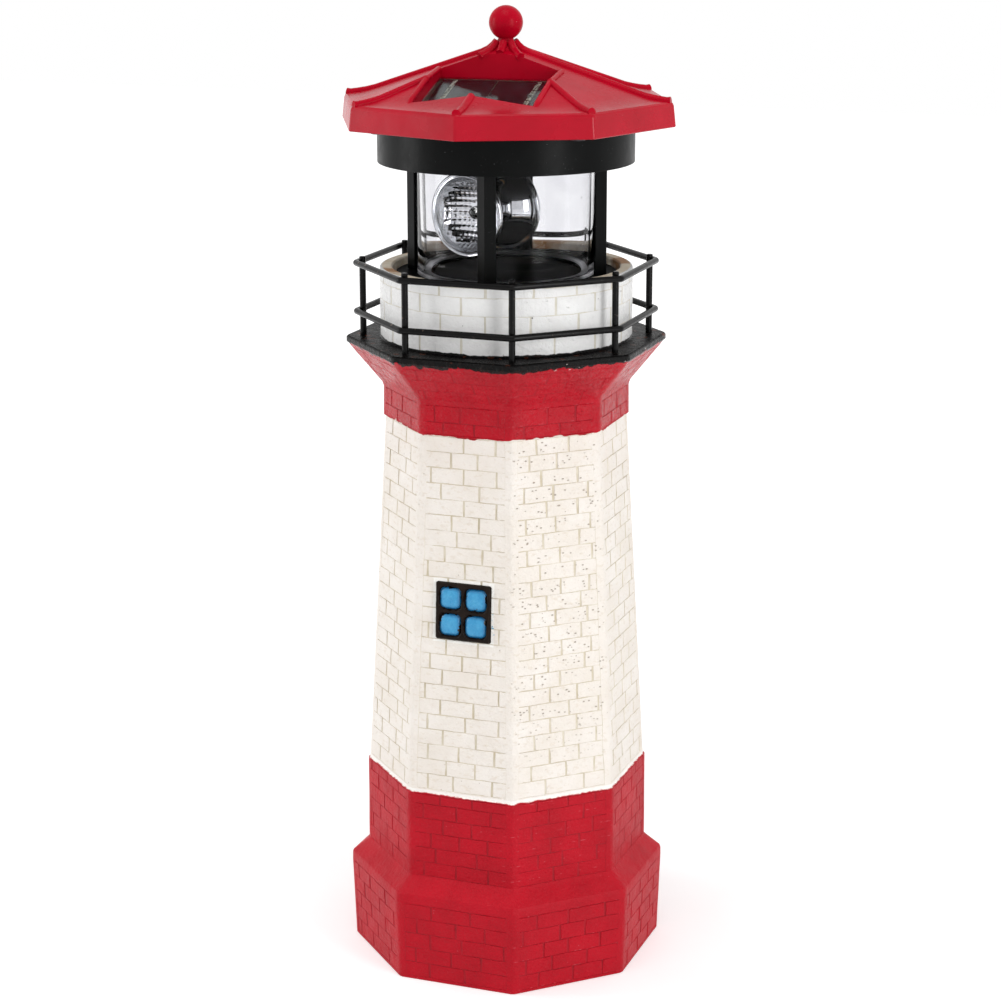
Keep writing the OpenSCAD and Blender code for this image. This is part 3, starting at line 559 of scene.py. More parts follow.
def makeCastPaint():
    finish = Finish("castPaint")
    belt, deck = tower["beltBottom"], tower["deckHeight"]
    across, deep, height = (finish.along(letter) for letter in "XYZ")
    clouds = finish.patches(14, 4, 0.35, 0.7)
    toRight = facingRight(finish, across, deep)
    pits = pitting(finish, height, toRight)
    white = whitePaint(finish, across, deep, height, clouds)
    white = finish.mix(finish.times(pits, 0.7), white, paints["pit"])
    red = redPaint(finish, height, toRight, clouds)
    black = finish.tones(1.6, 3, *paints["black"], 0.58, 0.66)
    drum = finish.mix(clouds, *paints["drum"])
    drum = finish.mix(finish.times(finish.spots(3.4, 0.12, 8, 0.6), 0.8), drum, paints["drumSpeck"])
    painted, level = zoneColours(finish, white, red, black, drum)
    finish.paint(deckMarks(finish, painted, level))
    # the belt and what is above it have smoother paint, and the black reflects least
    dull = finish.ramp(height, belt - 2, belt + 2, 0.2, 0)
    finish.set("Roughness", finish.plus(finish.patches(5, 3, 0.2, 0.8, 0.2, 0.34), dull))
    gloss = finish.ramp(finish.inside(level, deck - 3.1, deck - 0.3, 0.2), 0, 1, 0.18, 0.1)
    onDeck = finish.inside(height, deck - 0.4, deck + 0.2)
    finish.set("Specular IOR Level", finish.ramp(onDeck, 0, 1, gloss, 0.02))
    finish.grain((7, 4, 0.4), (1.6, 3, 0.34))
    finish.bump(finish.noise(0.7, 4, 0.65), 0.24)
    # the belt and the deck's edge have thick paint
    finish.bump(finish.noise(2.6, 3), 0.6, finish.inside(height, belt, deck, 2))
    finish.bump(finish.minus(1.0, pits), 0.2)
    return finish.material


def makeJointPaint():
    finish = Finish("jointPaint", Roughness=0.6, Specular_IOR_Level=0.3)
    uneven = finish.patches(6, 4, 0.3, 0.7)
    light, dark, drum = (finish.mix(uneven, *paints[name])
                         for name in ("jointOnWhite", "jointOnRed", "jointOnDrum"))
    onFlare = finish.ramp(finish.along("Z"), tower["beltTop"] - 2, tower["beltTop"] + 2, 0, 0.75)
    dark = finish.mix(onFlare, dark, paints["red"][1])
    finish.paint(zoneColours(finish, light, dark, paints["black"][0], drum)[0])
    finish.grain((0.9, 4, 0.08))
    return finish.material


def makeSocketPaint():
    finish = Finish("socketPaint", Roughness=0.65)
    resin = finish.tones(4, 4, *paints["socket"], 0.3, 0.72)
    stained = finish.patches(16, 3, 0.5, 0.62)
    finish.paint(finish.mix(stained, resin, paints["socketStain"]))
    finish.grain((1.2, 4, 0.12))
    return finish.material


castPaint = makeCastPaint()
jointPaint = makeJointPaint()
socketPaint = makeSocketPaint()


def radiusAt(height):
    outline = tower["outline"]
    for (low, radius, _), (high, other, _) in zip(outline, outline[1:]):
        if low <= height <= high:
            return radius + (other - radius) * (height - low) / (high - low)
    return outline[-1][1]


def jointDepthAt(height):
    outline = tower["outline"]
    for (low, _, depth), (high, _, other) in zip(outline, outline[1:]):
        if low <= height <= high:
            return bricks["relief"] * max(depth, other)
    return bricks["relief"]


def faceAxes(face):   # the outward direction of one of the eight faces, and the one along it
    normal = upright(1, math.radians(45 * face - 90), 0)
    return normal, Vector((-normal.y, normal.x, 0))


def onFace(face, across, height, depth):
    normal, tangent = faceAxes(face)
    return normal * (radiusAt(height) * flat - depth) + tangent * across + Vector((0, 0, height))


def wallRing(height, radius, sunk, rng):
    # sixteen points a side: a rounded ridge, a plain strip, and the sunk field between
    points = []
    half, ridge = radius * math.sin(halfSide), tower["ridge"]
    for face in range(8):
        normal, tangent = faceAxes(face)
        margin = bricks["margin"] + rng.uniform(-0.25, 0.25)
        inner = half - margin - 0.25
        stops = [(-half, 0.0), (-half + ridge, 0.0), (-half + margin, 0.0)]
        stops += [(-inner + 2 * inner * step / 10, bricks["relief"] * sunk) for step in range(11)]
        stops += [(half - margin, 0.0), (half - ridge, 0.0)]
        for place, (across, sink) in enumerate(stops):
            point = normal * (radius * flat - sink) + tangent * across
            if place == 0:
                point *= (radius - tower["ridgeRound"]) / radius
            wave = tower["waver"] * noise.noise(point * 0.12 + Vector((0, 0, height * 0.1)))
            if height < 0.5:
                wave = 0.0   # the foot stands level
            points.append(Vector((point.x, point.y, height)) + normal * min(wave, 0.0))
    return points


def roundRing(height, radius):
    steps = 8 * sideSteps
    return [upright(radius, math.radians(-112.5 + 360 * step / steps), height)
            for step in range(steps)]


def plainRing(height, radius):   # an octagon with the same number of points
    points = []
    for face in range(8):
        first, last = (upright(radius, math.radians(45 * face - 90 + turn), 0)
                       for turn in (-22.5, 22.5))
        points += [first.lerp(last, step / sideSteps) + Vector((0, 0, height))
                   for step in range(sideSteps)]
    return points


def outerRings(rng):   # rings of points, each with the kind of paint above it
    outline = tower["outline"]
    rings = []
    for (height, radius, sunk), (top, other, above) in zip(outline, outline[1:]):
        rings.append((wallRing(height, radius, sunk, rng), "field" if sunk and above else "plain"))
        steps = int((top - height) / 6)   # extra rings let a long wall waver
        for step in range(1, steps):
            share = step / steps
            between = height + (top - height) * share, radius + (other - radius) * share
            rings.append((wallRing(*between, sunk, rng), "field"))
    height, radius, sunk = outline[-1]
    return rings + [(wallRing(height, radius, sunk, rng), "plain")]


def drumRings():
    deck, top, drum = tower["deckHeight"], tower["drumTop"], tower["drumRadius"]
    joint, bore = drum - bricks["relief"], tower["boreRadius"]
    seat, socket = tower["seatHeight"], tower["socketRadius"]
    rows = [(deck, drum + 0.5, "plain"), (deck + 0.25, drum, "plain"), (deck + 0.4, joint, "joint"),
            (top - 1.1, joint, "joint"), (top - 0.9, drum, "plain"), (top - 0.25, drum - 0.3, "plain"),
            (top, drum - 0.9, "socket"), (top, bore + 0.5, "socket"), (top - 0.5, bore, "socket"),
            (seat, bore, "socket"), (seat, socket, "socket"),
            (tower["socketFloor"], socket, "socket")]
    return [(roundRing(height, radius), kind) for height, radius, kind in rows]


def makeWalls():
    rings = [(plainRing(height, radius), "plain") for height, radius in reversed(tower["cavity"])]
    rings += outerRings(random.Random(tower["seed"])) + drumRings()
    paintIndex = {"plain": 0, "field": 1, "joint": 1, "socket": 2}
    paintOf = []
    for _, kind in rings[:-1]:
        for step in range(8 * sideSteps):
            onStrip = not 2 <= step % sideSteps <= 13
            paintOf.append(0 if kind == "field" and onStrip else paintIndex[kind])
    points = [point for ring, _ in rings for point in ring]
    mesh = meshFrom("towerWalls", points, cappedQuads(len(rings), 8 * sideSteps))
    for material in (castPaint, jointPaint, socketPaint):
        mesh.materials.append(material)
    mesh.polygons.foreach_set("material_index", paintOf + [0, 2])
    smoothEdges(mesh, 25)
    fit(newPiece("towerWalls", mesh), "tower", "cast_resin", "tower_shell")


def courses():
    # level joints of each stretch of brickwork, the length of its bricks and their shift
    first, course = bricks["firstJoint"], bricks["course"]
    shaft = [first + course * step for step in range(23)] + [209.1]
    band = [40.4] + [first - course * step for step in range(5, 0, -1)] + [73.0]
    halfBrick = 6.0
    return [([1.1, 7.0, 12.9, 18.9, 25.0, 30.7], 13.6, halfBrick), (band, 13.0, 0.0),
            (shaft, 12.9, 0.0), ([209.9, 214.4, 220.5], 12.6, halfBrick),
            ([222.5, 226.6, 231.0, 235.5], 13.5, 0.0)]


def brickSpans(row, face, half, length, shift, rng):
    # brick ends along one course: upright joints on a running bond, slightly uneven
    courseUneven, jointUneven = bricks["uneven"]
    offset = bricks["starts"][face] + shift + (length * 0.5 if row % 2 else 0.0)
    offset += rng.uniform(-courseUneven, courseUneven)
    limit = half - bricks["margin"] + 0.4
    joints = []
    for step in range(-4, 5):
        joint = offset + length * step + rng.uniform(-jointUneven, jointUneven)
        if abs(joint) < limit - 1.6:
            joints.append(joint)
    gap = bricks["jointWide"] / 2
    ends = [-limit - gap] + joints + [limit + gap]
    return [(first + gap, last - gap) for first, last in zip(ends, ends[1:])]


def brickGrid(points, faces, place, left, right, low, high, rng, columns=4, rows=2):
    # a brick's outline as a small grid of quads on a surface; place(across, height) gives the point
    faces += quads(rows + 1, columns + 1, len(points), ring=False)
    for row in range(rows + 1):
        for column in range(columns + 1):
            edge = row in (0, rows) or column in (0, columns)
            shift = bricks["jitter"] if edge else 0.0
            across = left + (right - left) * column / columns + rng.uniform(-shift, shift)
            height = low + (high - low) * row / rows + rng.uniform(-shift, shift)
            points.append(place(across, height))


def layFlatBricks(points, faces, rng):
    gap = bricks["jointHigh"] / 2
    for levels, length, shift in courses():
        for face in range(8):
            for row, (low, high) in enumerate(zip(levels, levels[1:])):
                half = radiusAt((low + high) / 2) * math.sin(halfSide)
                depth = jointDepthAt((low + high) / 2)
                for left, right in brickSpans(row, face, half, length, shift, rng):
                    brickGrid(points, faces, lambda across, height: onFace(face, across, height, depth),
                              left, right, low + gap, high - gap, rng)


def layDrumBricks(points, faces, rng):
    drum, count, levels = tower["drumRadius"] - bricks["relief"], bricks["drumCount"], bricks["drumLevels"]
    gap, side = bricks["jointHigh"] / 2, bricks["drumJoint"] / 2

    def onDrum(across, height):
        return upright(drum, across / drum - math.pi / 2, height)

    for row, (low, high) in enumerate(zip(levels, levels[1:])):
        joints = [2 * math.pi * drum * (step + 0.5 * (row % 2)) / count + rng.uniform(-0.7, 0.7)
                  for step in range(count)]
        joints.append(joints[0] + 2 * math.pi * drum)
        for left, right in zip(joints, joints[1:]):
            brickGrid(points, faces, onDrum, left + side, right - side, low + gap, high - gap,
                      rng, columns=7)


def extruded(recipe, geometry, relief, **sockets):   # faces raised together
    node = recipe.add("GeometryNodeExtrudeMesh", {"mode": "FACES"}, Mesh=geometry,
                      Offset_Scale=recipe.times(relief, 0.5), Individual=False, **sockets)
    return node.outputs


def wornRelief(recipe):
    # each brick stands out by chance, less in some areas, as on a worn mould
    island = recipe.add("GeometryNodeInputMeshIsland").outputs["Island Index"]
    chance = recipe.add("FunctionNodeRandomValue", {"data_type": "FLOAT"}, ID=island,
                        Seed=recipe.start["Seed"])
    chance.inputs[2].default_value, chance.inputs[3].default_value = 0.86, 1.1
    worn = recipe.add("ShaderNodeTexNoise", Scale=1 / (34 * mm), Detail=1.0).outputs[0]
    depth = recipe.add("ShaderNodeMapRange", Value=worn, From_Min=0.35, From_Max=0.6,
                       To_Min=0.5, To_Max=1.0).outputs[0]
    # and less still on the flare
    place = recipe.add("GeometryNodeInputPosition").outputs[0]
    height = recipe.add("ShaderNodeSeparateXYZ", Vector=place).outputs["Z"]
    flare, drum = (recipe.math("GREATER_THAN", height, border * mm) for border in bricks["shallow"])
    kept = recipe.minus(1.0, recipe.times(recipe.minus(flare, drum), 0.6))
    return recipe.times(recipe.start["Relief"], chance.outputs[1], depth, kept)


def brickRecipe(**sizes):
    recipe = Recipe("layBricks", **sizes)
    start = recipe.start
    relief = wornRelief(recipe)
    body = extruded(recipe, start["Geometry"], relief)
    top = extruded(recipe, body["Mesh"], relief, Selection=body["Top"])
    shrunk = recipe.add("GeometryNodeScaleElements", {"domain": "FACE"}, Geometry=top["Mesh"],
                        Selection=top["Top"], Scale=start["TopShrink"])
    # each top is a little lumpy, as a casting is
    lumps = recipe.add("ShaderNodeTexNoise", Scale=1 / (4 * mm), Detail=1.0).outputs[0]
    rise = recipe.times(recipe.minus(lumps, 0.5), recipe.times(start["Lumps"], 2.0))
    normal = recipe.add("GeometryNodeInputNormal").outputs[0]
    lift = recipe.add("ShaderNodeVectorMath", {"operation": "SCALE"}, Vector=normal, Scale=rise)
    lumpy = recipe.add("GeometryNodeSetPosition", Geometry=shrunk.outputs[0],
                       Selection=top["Top"], Offset=lift.outputs[0])
    painted = recipe.finish(lumpy.outputs[0], start["Paint"])
    joints = recipe.add("GeometryNodeSetMaterial", Geometry=painted, Selection=body["Side"],
                        Material=start["Joint"])
    recipe.feed(recipe.end, joints.outputs[0])
    return recipe


def makeBricks():
    rng = random.Random(tower["seed"] + 1)
    points, faces = [], []
    layFlatBricks(points, faces, rng)
    layDrumBricks(points, faces, rng)
    piece = newPiece("towerBricks", meshFrom("brickPlan", points, faces))
    sizes = {"Relief": bricks["relief"] * mm, "TopShrink": bricks["topShrink"],
             "Lumps": bricks["lumps"] * mm, "Seed": tower["seed"],
             "Paint": castPaint, "Joint": jointPaint}
    brickRecipe(**sizes).use(piece, **sizes)
    fit(piece, "tower", "cast_resin")
    print("stage: tower walls and", len(piece.data.polygons), "brick faces")


makeWalls()
makeBricks()


# Window: a raised black frame with four cushioned panes

enamel = {
    "frame": ((18, 9, 5), (32, 22, 16)),
    "pane": ((44, 140, 192), (72, 164, 210)),
    # painted shade, darkening each pane towards its rounded edge
    "paneEdgeShade": (28, 108, 160),
}
wallLean = math.atan((radiusAt(90) - radiusAt(190)) * flat / 100)
wallDistance = radiusAt(window["height"]) * flat
quarters = [(right, top) for right in (-1, 1) for top in (-1, 1)]   # where the panes are


def onWindow(across, up, out):   # a point beside the window's centre, on the leaning face
    return Vector((across, -wallDistance + up * math.sin(wallLean) - out * math.cos(wallLean),
                   window["height"] + up * math.cos(wallLean) + out * math.sin(wallLean)))


def smoothStep(value, low, high):
    share = min(max((value - low) / (high - low), 0.0), 1.0)
    return share * share * (3 - 2 * share)


def roundedSquare(first, second, half, corner):   # distance inside a square with rounded corners
    x, y = abs(first) - (half - corner), abs(second) - (half - corner)
    outside = math.hypot(max(x, 0), max(y, 0))
    return corner - outside - min(max(x, y), 0)


def makeFrameEnamel():
    finish = Finish("frameEnamel", Specular_IOR_Level=0.1)
    finish.paint(finish.tones(3, 4, *enamel["frame"], 0.35))
    finish.rough(1.5, 0.26, 0.42)
    finish.grain((1.4, 3, 0.1), (0.4, 3, 0.03))
    return finish.material


def makePaneEnamel():
    finish = Finish("paneEnamel", Specular_IOR_Level=0.45)
    blue = finish.tones(2.4, 4, *enamel["pane"], 0.3, 0.72)
    rim = finish.add("ShaderNodeAttribute", {"attribute_name": "rim"}).outputs["Fac"]
    # painted shade: the blue darkens towards each pane's rounded edge, where the cushion curves down
    blue = finish.mix(finish.ramp(rim, 1.5, 0.3), blue, enamel["paneEdgeShade"])
    # the black of the frame runs over the edges here and there
    over = finish.ramp(finish.minus(finish.patches(3.1, 2, 0.52, 0.72, 0.0, 1.3), rim), -0.05, 0.05)
    finish.paint(finish.mix(over, blue, enamel["frame"][0]))
    finish.rough(1.5, 0.2, 0.34)
    finish.grain((1.8, 3, 0.1))
    return finish.material


def windowGrid(half, steps, heightAt, sunk, corner):
    # a square relief on the wall, its edge drawn down into the wall and its back closed
    points, rims = [], []
    for row in range(steps + 1):
        for column in range(steps + 1):
            across = half * (2 * column / steps - 1)
            up = half * (2 * row / steps - 1)
            inside = roundedSquare(across, up, half, corner)
            if inside < 0:   # pull the corners of the grid onto the rounded outline
                scale = (half + inside * 0.7) / half
                across, up = across * scale, up * scale
            points.append((across, up, heightAt(across, up)))
            rims.append(max(inside, 0.0))
    width = steps + 1
    faces = quads(width, width, ring=False)
    border = list(range(width)) + [row * width + steps for row in range(1, width)]
    border += [steps * width + column for column in range(steps - 1, -1, -1)]
    border += [row * width for row in range(steps - 1, 0, -1)]
    first, count = len(points), len(border)
    points += [(*points[place][:2], sunk) for place in border]
    rims += [0.0] * count
    for step, place in enumerate(border):
        after = (step + 1) % count
        faces.append((place, first + step, first + after, border[after]))
    faces.append(tuple(range(first + count - 1, first - 1, -1)))
    return points, faces, rims


def frameHeight(across, up):
    relief, pitch = window["relief"], window["panePitch"] / 2
    uneven = noise.noise(Vector((across * 0.5, up * 0.5, window["seed"])))
    edge = roundedSquare(across, up, window["size"] / 2, window["corner"]) + 0.12 * uneven
    height = relief * smoothStep(edge, -0.05, 0.65)
    for right, top in quarters:
        inside = roundedSquare(across - right * pitch, up - top * pitch, window["pane"] / 2 + 0.2,
                               window["paneCorner"] - 0.2)
        bar = 0.3 * noise.noise(Vector((across * 0.8, up * 0.8, right + 3 * top)))
        height = min(height, relief * (1 - smoothStep(inside + bar, -0.4, 0.3)) + 0.12)
    return min(height + 0.06 * noise.noise(Vector((across, up, 1.0))), relief + 0.15)


def paneHeight(across, up):
    pane = window["pane"]
    inside = roundedSquare(across, up, pane / 2, window["paneCorner"])
    dome = 1.1 - 0.75 * ((across / pane * 2) ** 2 + (up / pane * 2) ** 2) / 2
    wave = 0.1 * noise.noise(Vector((across * 0.35, up * 0.35, 4.0)))
    return 0.15 + (1.1 * dome + wave) * smoothStep(inside, -0.2, 1.1)


def makeWindow():
    points, faces, _ = windowGrid(window["size"] / 2, window["steps"], frameHeight, -0.4,
                                  window["corner"])
    mesh = mended(meshFrom("windowFrame", [onWindow(*point) for point in points], faces))
    smoothEdges(mesh, 60)
    fit(newPiece("windowFrame", mesh, makeFrameEnamel()), "tower", "frame_black", "window_frame")
    points, faces, rims = [], [], []
    pitch = window["panePitch"] / 2
    for right, top in quarters:
        grid, quarter, rim = windowGrid(window["pane"] / 2, window["paneSteps"], paneHeight, 0.0,
                                        window["paneCorner"])
        first = len(points)
        points += [(across + right * pitch, up + top * pitch, out) for across, up, out in grid]
        faces += [tuple(first + corner for corner in quad) for quad in quarter]
        rims += rim
    mesh = meshFrom("windowPanes", [onWindow(*point) for point in points], faces)
    mesh.attributes.new("rim", "FLOAT", "POINT").data.foreach_set("value", rims)
    smoothEdges(mesh, 60)
    fit(newPiece("windowPanes", mesh, makePaneEnamel()), "tower", "pane_blue", "window_panes")
    print("stage: window ready")


makeWindow()


# Railing: bent black rod

railing = {
    "rodRadius": 1.2,
    "cornerRadius": 55.6,      # of the rails' eight corners
    "bend": 1.8,               # how far each corner is rounded
    "postRadius": 53.165,
    "postHeights": (236.1, 252.0, 269.4),
    "rails": {"railUpper": ("upper_rail", 267.0), "railLower": ("lower_rail", 248.91)},
    "sides": 14,
}


def makeRodPaint():
    finish = Finish("rodPaint", Specular_IOR_Level=0.12)
    black = finish.tones(5, 4, (5, 5, 5), (13, 12, 12), 0.35)
    chips = finish.patches(1.6, 4, 0.7, 0.715)
    finish.paint(finish.mix(chips, black, (120, 104, 92)))
    finish.rough(2.5, 0.16, 0.3)
    finish.grain((3.2, 3, 0.12), (0.6, 3, 0.02))
    return finish.material


def rodRecipe(**sizes):   # edges become round bars, with their corners rounded
    recipe = Recipe("bendRod", **sizes)
    start = recipe.start
    path = recipe.add("GeometryNodeMeshToCurve", Mesh=start["Geometry"])
    rounded = recipe.add("GeometryNodeFilletCurve", {"mode": "POLY"}, Curve=path.outputs[0],
                         Count=5, Radius=start["Bend"], Limit_Radius=True)
    ring = recipe.add("GeometryNodeCurvePrimitiveCircle", Resolution=start["Sides"],
                      Radius=start["Radius"])
    rod = recipe.add("GeometryNodeCurveToMesh", Curve=rounded.outputs[0],
                     Profile_Curve=ring.outputs[0], Fill_Caps=True)
    recipe.finish(rod.outputs[0], start["Paint"])
    return recipe


rodPaint = makeRodPaint()
rodMaker = rodRecipe(Radius=railing["rodRadius"] * mm, Bend=railing["bend"] * mm,
                     Sides=railing["sides"], Paint=rodPaint)


def rodPiece(name, paths, closed, material, radius, bend, sides=12):
    points, edges = [], []
    for path in paths:
        first = len(points)
        points += path
        edges += [(first + step, first + step + 1) for step in range(len(path) - 1)]
        if closed:
            edges.append((len(points) - 1, first))
    piece = newPiece(name, meshFrom(name, points, [], edges))
    rodMaker.use(piece, Radius=radius * mm, Bend=bend * mm, Sides=sides, Paint=material)
    mended(piece.data)
    smoothEdges(piece.data, 50)
    return piece


def makeRailing():
    radius, sides = railing["rodRadius"], railing["sides"]
    corners = [math.radians(22.5 + 45 * corner) for corner in range(8)]
    for name, (node, height) in railing["rails"].items():
        path = [upright(railing["cornerRadius"], angle, height) for angle in corners]
        rail = rodPiece(name, [path], True, rodPaint, radius, railing["bend"], sides)
        fit(rail, "tower", "wire_black", node)
    posts = [[upright(railing["postRadius"], angle, height) for height in railing["postHeights"]]
             for angle in corners]
    piece = rodPiece("railPosts", posts, False, rodPaint, radius, 0.0, sides)
    softened(piece, 0.4, 3, 60, 50)
    fit(piece, "tower", "wire_black", "railing_posts")
    print("stage: railing ready")


makeRailing()


# Roof: moulded plastic, with eight ribs and a well for the solar panel

roof = {
    "turn": 4.1,               # degrees, as the lantern stands on the tower
    "outside": [(61.5, 318.4), (63.1, 318.4), (63.4, 318.7), (62.6, 325.9), (62.2, 326.8),
                (61.5, 327.35), (60.6, 327.5), (58.4, 327.78), (56.2, 328.12), (53.5, 328.72),
                (50.1, 329.7), (6.0, 344.58)],
    "inside": [(61.5, 318.2), (60.7, 324.4), (50.1, 327.3), (4.0, 343.0)],
    "corner": 0.5,             # rounding of the eight upright corners
    "wellSide": 22.5,
    "wellBack": 8.0,
    "wellFront": 43.0,
    "wellTop": 335.0,          # height of the panel's face at the back
    "slope": 0.3,
    "panelDepth": 2.05,
    "trayWall": 1.6,
    "trayFloor": 1.4,
    # a rib climbs the ball's foot, runs straight down a corner and flicks up at the edge
    "ribTop": [(3.4, 347.4), (4.5, 346.1), (6.4, 344.5)],
    "ribRun": [(9.0, 343.27), (20.0, 339.56), (32.5, 335.34), (44.2, 331.4), (50.09, 329.4)],
    "ribEnd": [(53.5, 328.55), (57.0, 327.9), (60.0, 327.5), (61.4, 327.7)],
    "ribRadius": 1.5,
    "ribBend": 3.0,
    "lipRadius": 1.1,
}
lanternTurn = Matrix.Rotation(math.radians(roof["turn"]), 3, "Z")


def makeRoofPlastic():
    finish = Finish("roofPlastic")
    red = finish.tones(22, 3, (184, 5, 36), (166, 4, 29))
    dust = finish.times(finish.spots(2.4, 0.07, 12, 0.58), 0.5)
    finish.paint(finish.mix(dust, red, (236, 150, 158)))
    finish.rough(12, 0.2, 0.32)
    finish.set("Specular IOR Level", finish.ramp(finish.along("Z"), 326, 328, 0.2, 0.05))
    finish.grain((18, 2, 0.2), (2.2, 2, 0.012))
    return finish.material


def eightSided(name, rings):   # rounded octagons stacked into one closed solid
    points = []
    for radius, height in rings:
        for side in range(8):
            before, point, after = (upright(radius, math.radians(45 * side - 90 + turn), height)
                                    for turn in (-45, 0, 45))
            share = min(roof["corner"] / (point - before).length, 0.2)
            first, last = point.lerp(before, share), point.lerp(after, share)
            points += [first, point.lerp((first + last) / 2, 0.6), last]
    return newPiece(name, mended(meshFrom(name, points, cappedQuads(len(rings), 24))))


def wellBlock(grow, offset):   # the room above a plane that slopes with the panel
    side, back, front = roof["wellSide"] + grow, grow - roof["wellBack"], -roof["wellFront"] - grow
    top = 360   # well above the roof
    points = []
    for depth in (front, back):
        floor = roof["wellTop"] + offset + roof["slope"] * (depth + roof["wellBack"])
        points += [(-side, depth, floor), (side, depth, floor), (side, depth, top), (-side, depth, top)]
    faces = [(0, 1, 2, 3), (5, 4, 7, 6), (1, 5, 6, 2), (4, 0, 3, 7), (3, 2, 6, 7), (4, 5, 1, 0)]
    return newPiece("wellBlock", mended(meshFrom("wellBlock", points, faces)))


def ribPaths():
    line = roof["ribTop"] + roof["ribRun"] + roof["ribEnd"]
    (nearRadius, nearHeight), (farRadius, farHeight) = roof["ribRun"][0], roof["ribRun"][-1]
    steep = (farHeight - nearHeight) / (farRadius - nearRadius)
    paths = []
    for side in range(8):
        angle = math.radians(45 * side - 90)
        run = [upright(radius, angle, height) for radius, height in line]
        if side in (0, 1, 7):   # these three are cut by the well
            back = roof["wellBack"] / math.cos(math.radians(45 * min(side, 8 - side))) - 0.3
            front = roof["wellSide"] / math.sin(math.radians(45))
            front = roof["wellFront"] + 0.4 if side == 0 else front + 0.4
            upper = [point for point, (radius, _) in zip(run, line) if radius < back]
            lower = [point for point, (radius, _) in zip(run, line) if radius > front]
            ends = [upright(radius, angle, nearHeight + steep * (radius - nearRadius))
                    for radius in (back, front)]
            paths += [upper + ends[:1], ends[1:] + lower]
        else:
            paths.append(run)
    return paths


def roofHeight(across, deep):   # of the roof's skin over a point
    reach = max(across * math.cos(angle) + deep * math.sin(angle)
                for angle in (math.radians(22.5 + 45 * side) for side in range(8))) / flat
    rings = roof["outside"][2:]
    for (outer, low), (inner, high) in zip(rings, rings[1:]):
        if inner <= reach <= outer:
            return low + (high - low) * (outer - reach) / (outer - inner)
    return rings[-1][1]


def lipPaths():   # a raised lip down each side of the well
    across, back = roof["wellSide"] + 0.5, roof["wellBack"]
    run = [-back - (roof["wellFront"] - back) * step / 14 for step in range(15)]
    paths = []
    for side in (-1, 1):
        path = [Vector((side * across, deep, roofHeight(across, deep) - 0.1)) for deep in run]
        path[-1].z -= 1.0   # the lower end sinks into the roof
        paths.append(path)
    return paths


def makeRoof(plastic):
    shell, hollow = eightSided("roofShell", roof["outside"]), eightSided("roofHollow", roof["inside"])
    stack = -roof["panelDepth"]
    carved(hollow, wellBlock(roof["trayWall"], stack - roof["trayFloor"]))
    carved(shell, hollow)
    carved(shell, wellBlock(0.0, stack))
    shell.data.transform(lanternTurn.to_4x4())
    mended(shell.data)
    softened(shell, 0.3, 2, 38, 11)
    shell.data.materials.clear()
    shell.data.materials.append(plastic)
    fit(shell, "lantern", "roof_red", "roof")
    for name, paths, radius, bend in (("roofRibs", ribPaths(), roof["ribRadius"], roof["ribBend"]),
                                      ("wellLips", lipPaths(), roof["lipRadius"], 0.0)):
        turned = [[lanternTurn @ point for point in path] for path in paths]
        fit(rodPiece(name, turned, False, plastic, radius, bend), "lantern", "roof_red")
    print("stage: roof ready")


# Ball on the roof

ball = {
    "radius": 6.2,
    "centre": 354.17,
    "foot": 344.58,
    "footRadius": 5.5,
    "neckRadius": 2.7,
    "neckTop": 348.7,
    "stubRadius": 1.9,         # of the end that plugs into the roof
    "stubFoot": 339.6,
}


def makeBall(plastic):
    foot, neck, stub = ball["footRadius"], ball["neckRadius"], ball["stubRadius"]
    base = ball["foot"]
    profile = [(0.0, ball["stubFoot"]), (stub, ball["stubFoot"]), (stub, base), (foot, base)]
    for step in range(7):   # a hollow curve from the foot to the neck
        share = step / 6
        profile.append((neck + (foot - neck) * (1 - share) ** 1.7,
                        base + 0.2 + (ball["neckTop"] - base - 0.2) * share))
    lowest = math.asin(neck / ball["radius"])
    for step in range(25):
        angle = lowest + (math.pi - lowest) * step / 24
        profile.append((max(ball["radius"] * math.sin(angle), 0.0),
                        ball["centre"] - ball["radius"] * math.cos(angle)))
    mesh = spun("roofBall", profile, 64, loop=False)
    smoothEdges(mesh, 40)
    fit(newPiece("roofBall", mesh, plastic), "lantern", "roof_red", "finial")
    print("stage: ball ready")


roofPlastic = makeRoofPlastic()
makeRoof(roofPlastic)
makeBall(roofPlastic)


# Lantern: black housing and the clear tube

glazing = {
    "radius": 32.9,
    "wall": 1.8,
    "foot": 262.35,
    "top": 305.65,
    "ringRadius": 28.4,
    "ringTop": 264.15,
    "tint": ((238, 238, 240), (230, 230, 233)),
    "cloudy": (176, 176, 180),
    "fleck": (60, 62, 66),
}
housing = {   # the rounding of each moulding's edges
    "lantern_base": ("lanternBase", 0.3),
    "lantern_posts": ("lanternPosts", 0.18),
    "cap": ("capHousing", 0.4),
}


def makeHousingPlastic():
    finish = Finish("housingPlastic")
    black = finish.tones(12, 4, (7, 8, 8), (12, 13, 13), 0.35)
    # short pale scratches and a little dust
    scratched = finish.ramp(finish.noise(1.1, 2, 0.5, finish.stretched(1, 1, 4)), 0.755, 0.77)
    dust = finish.times(finish.spots(1.5, 0.07, 7, 0.55), 0.6)
    marks = finish.most(finish.times(scratched, 0.7), dust)
    finish.paint(finish.mix(marks, black, (120, 122, 124)))
    finish.rough(4, 0.26, 0.4, 4)
    # the lantern's floor lies almost edge-on to the room, so it is kept dull
    onFloor = finish.inside(finish.along("Z"), 260, 265, 0.4)
    finish.set("Specular IOR Level", finish.ramp(onFloor, 0, 1, 0.07, 0.002))
    finish.grain((9, 3, 0.06), (0.5, 3, 0.02))
    return finish.material


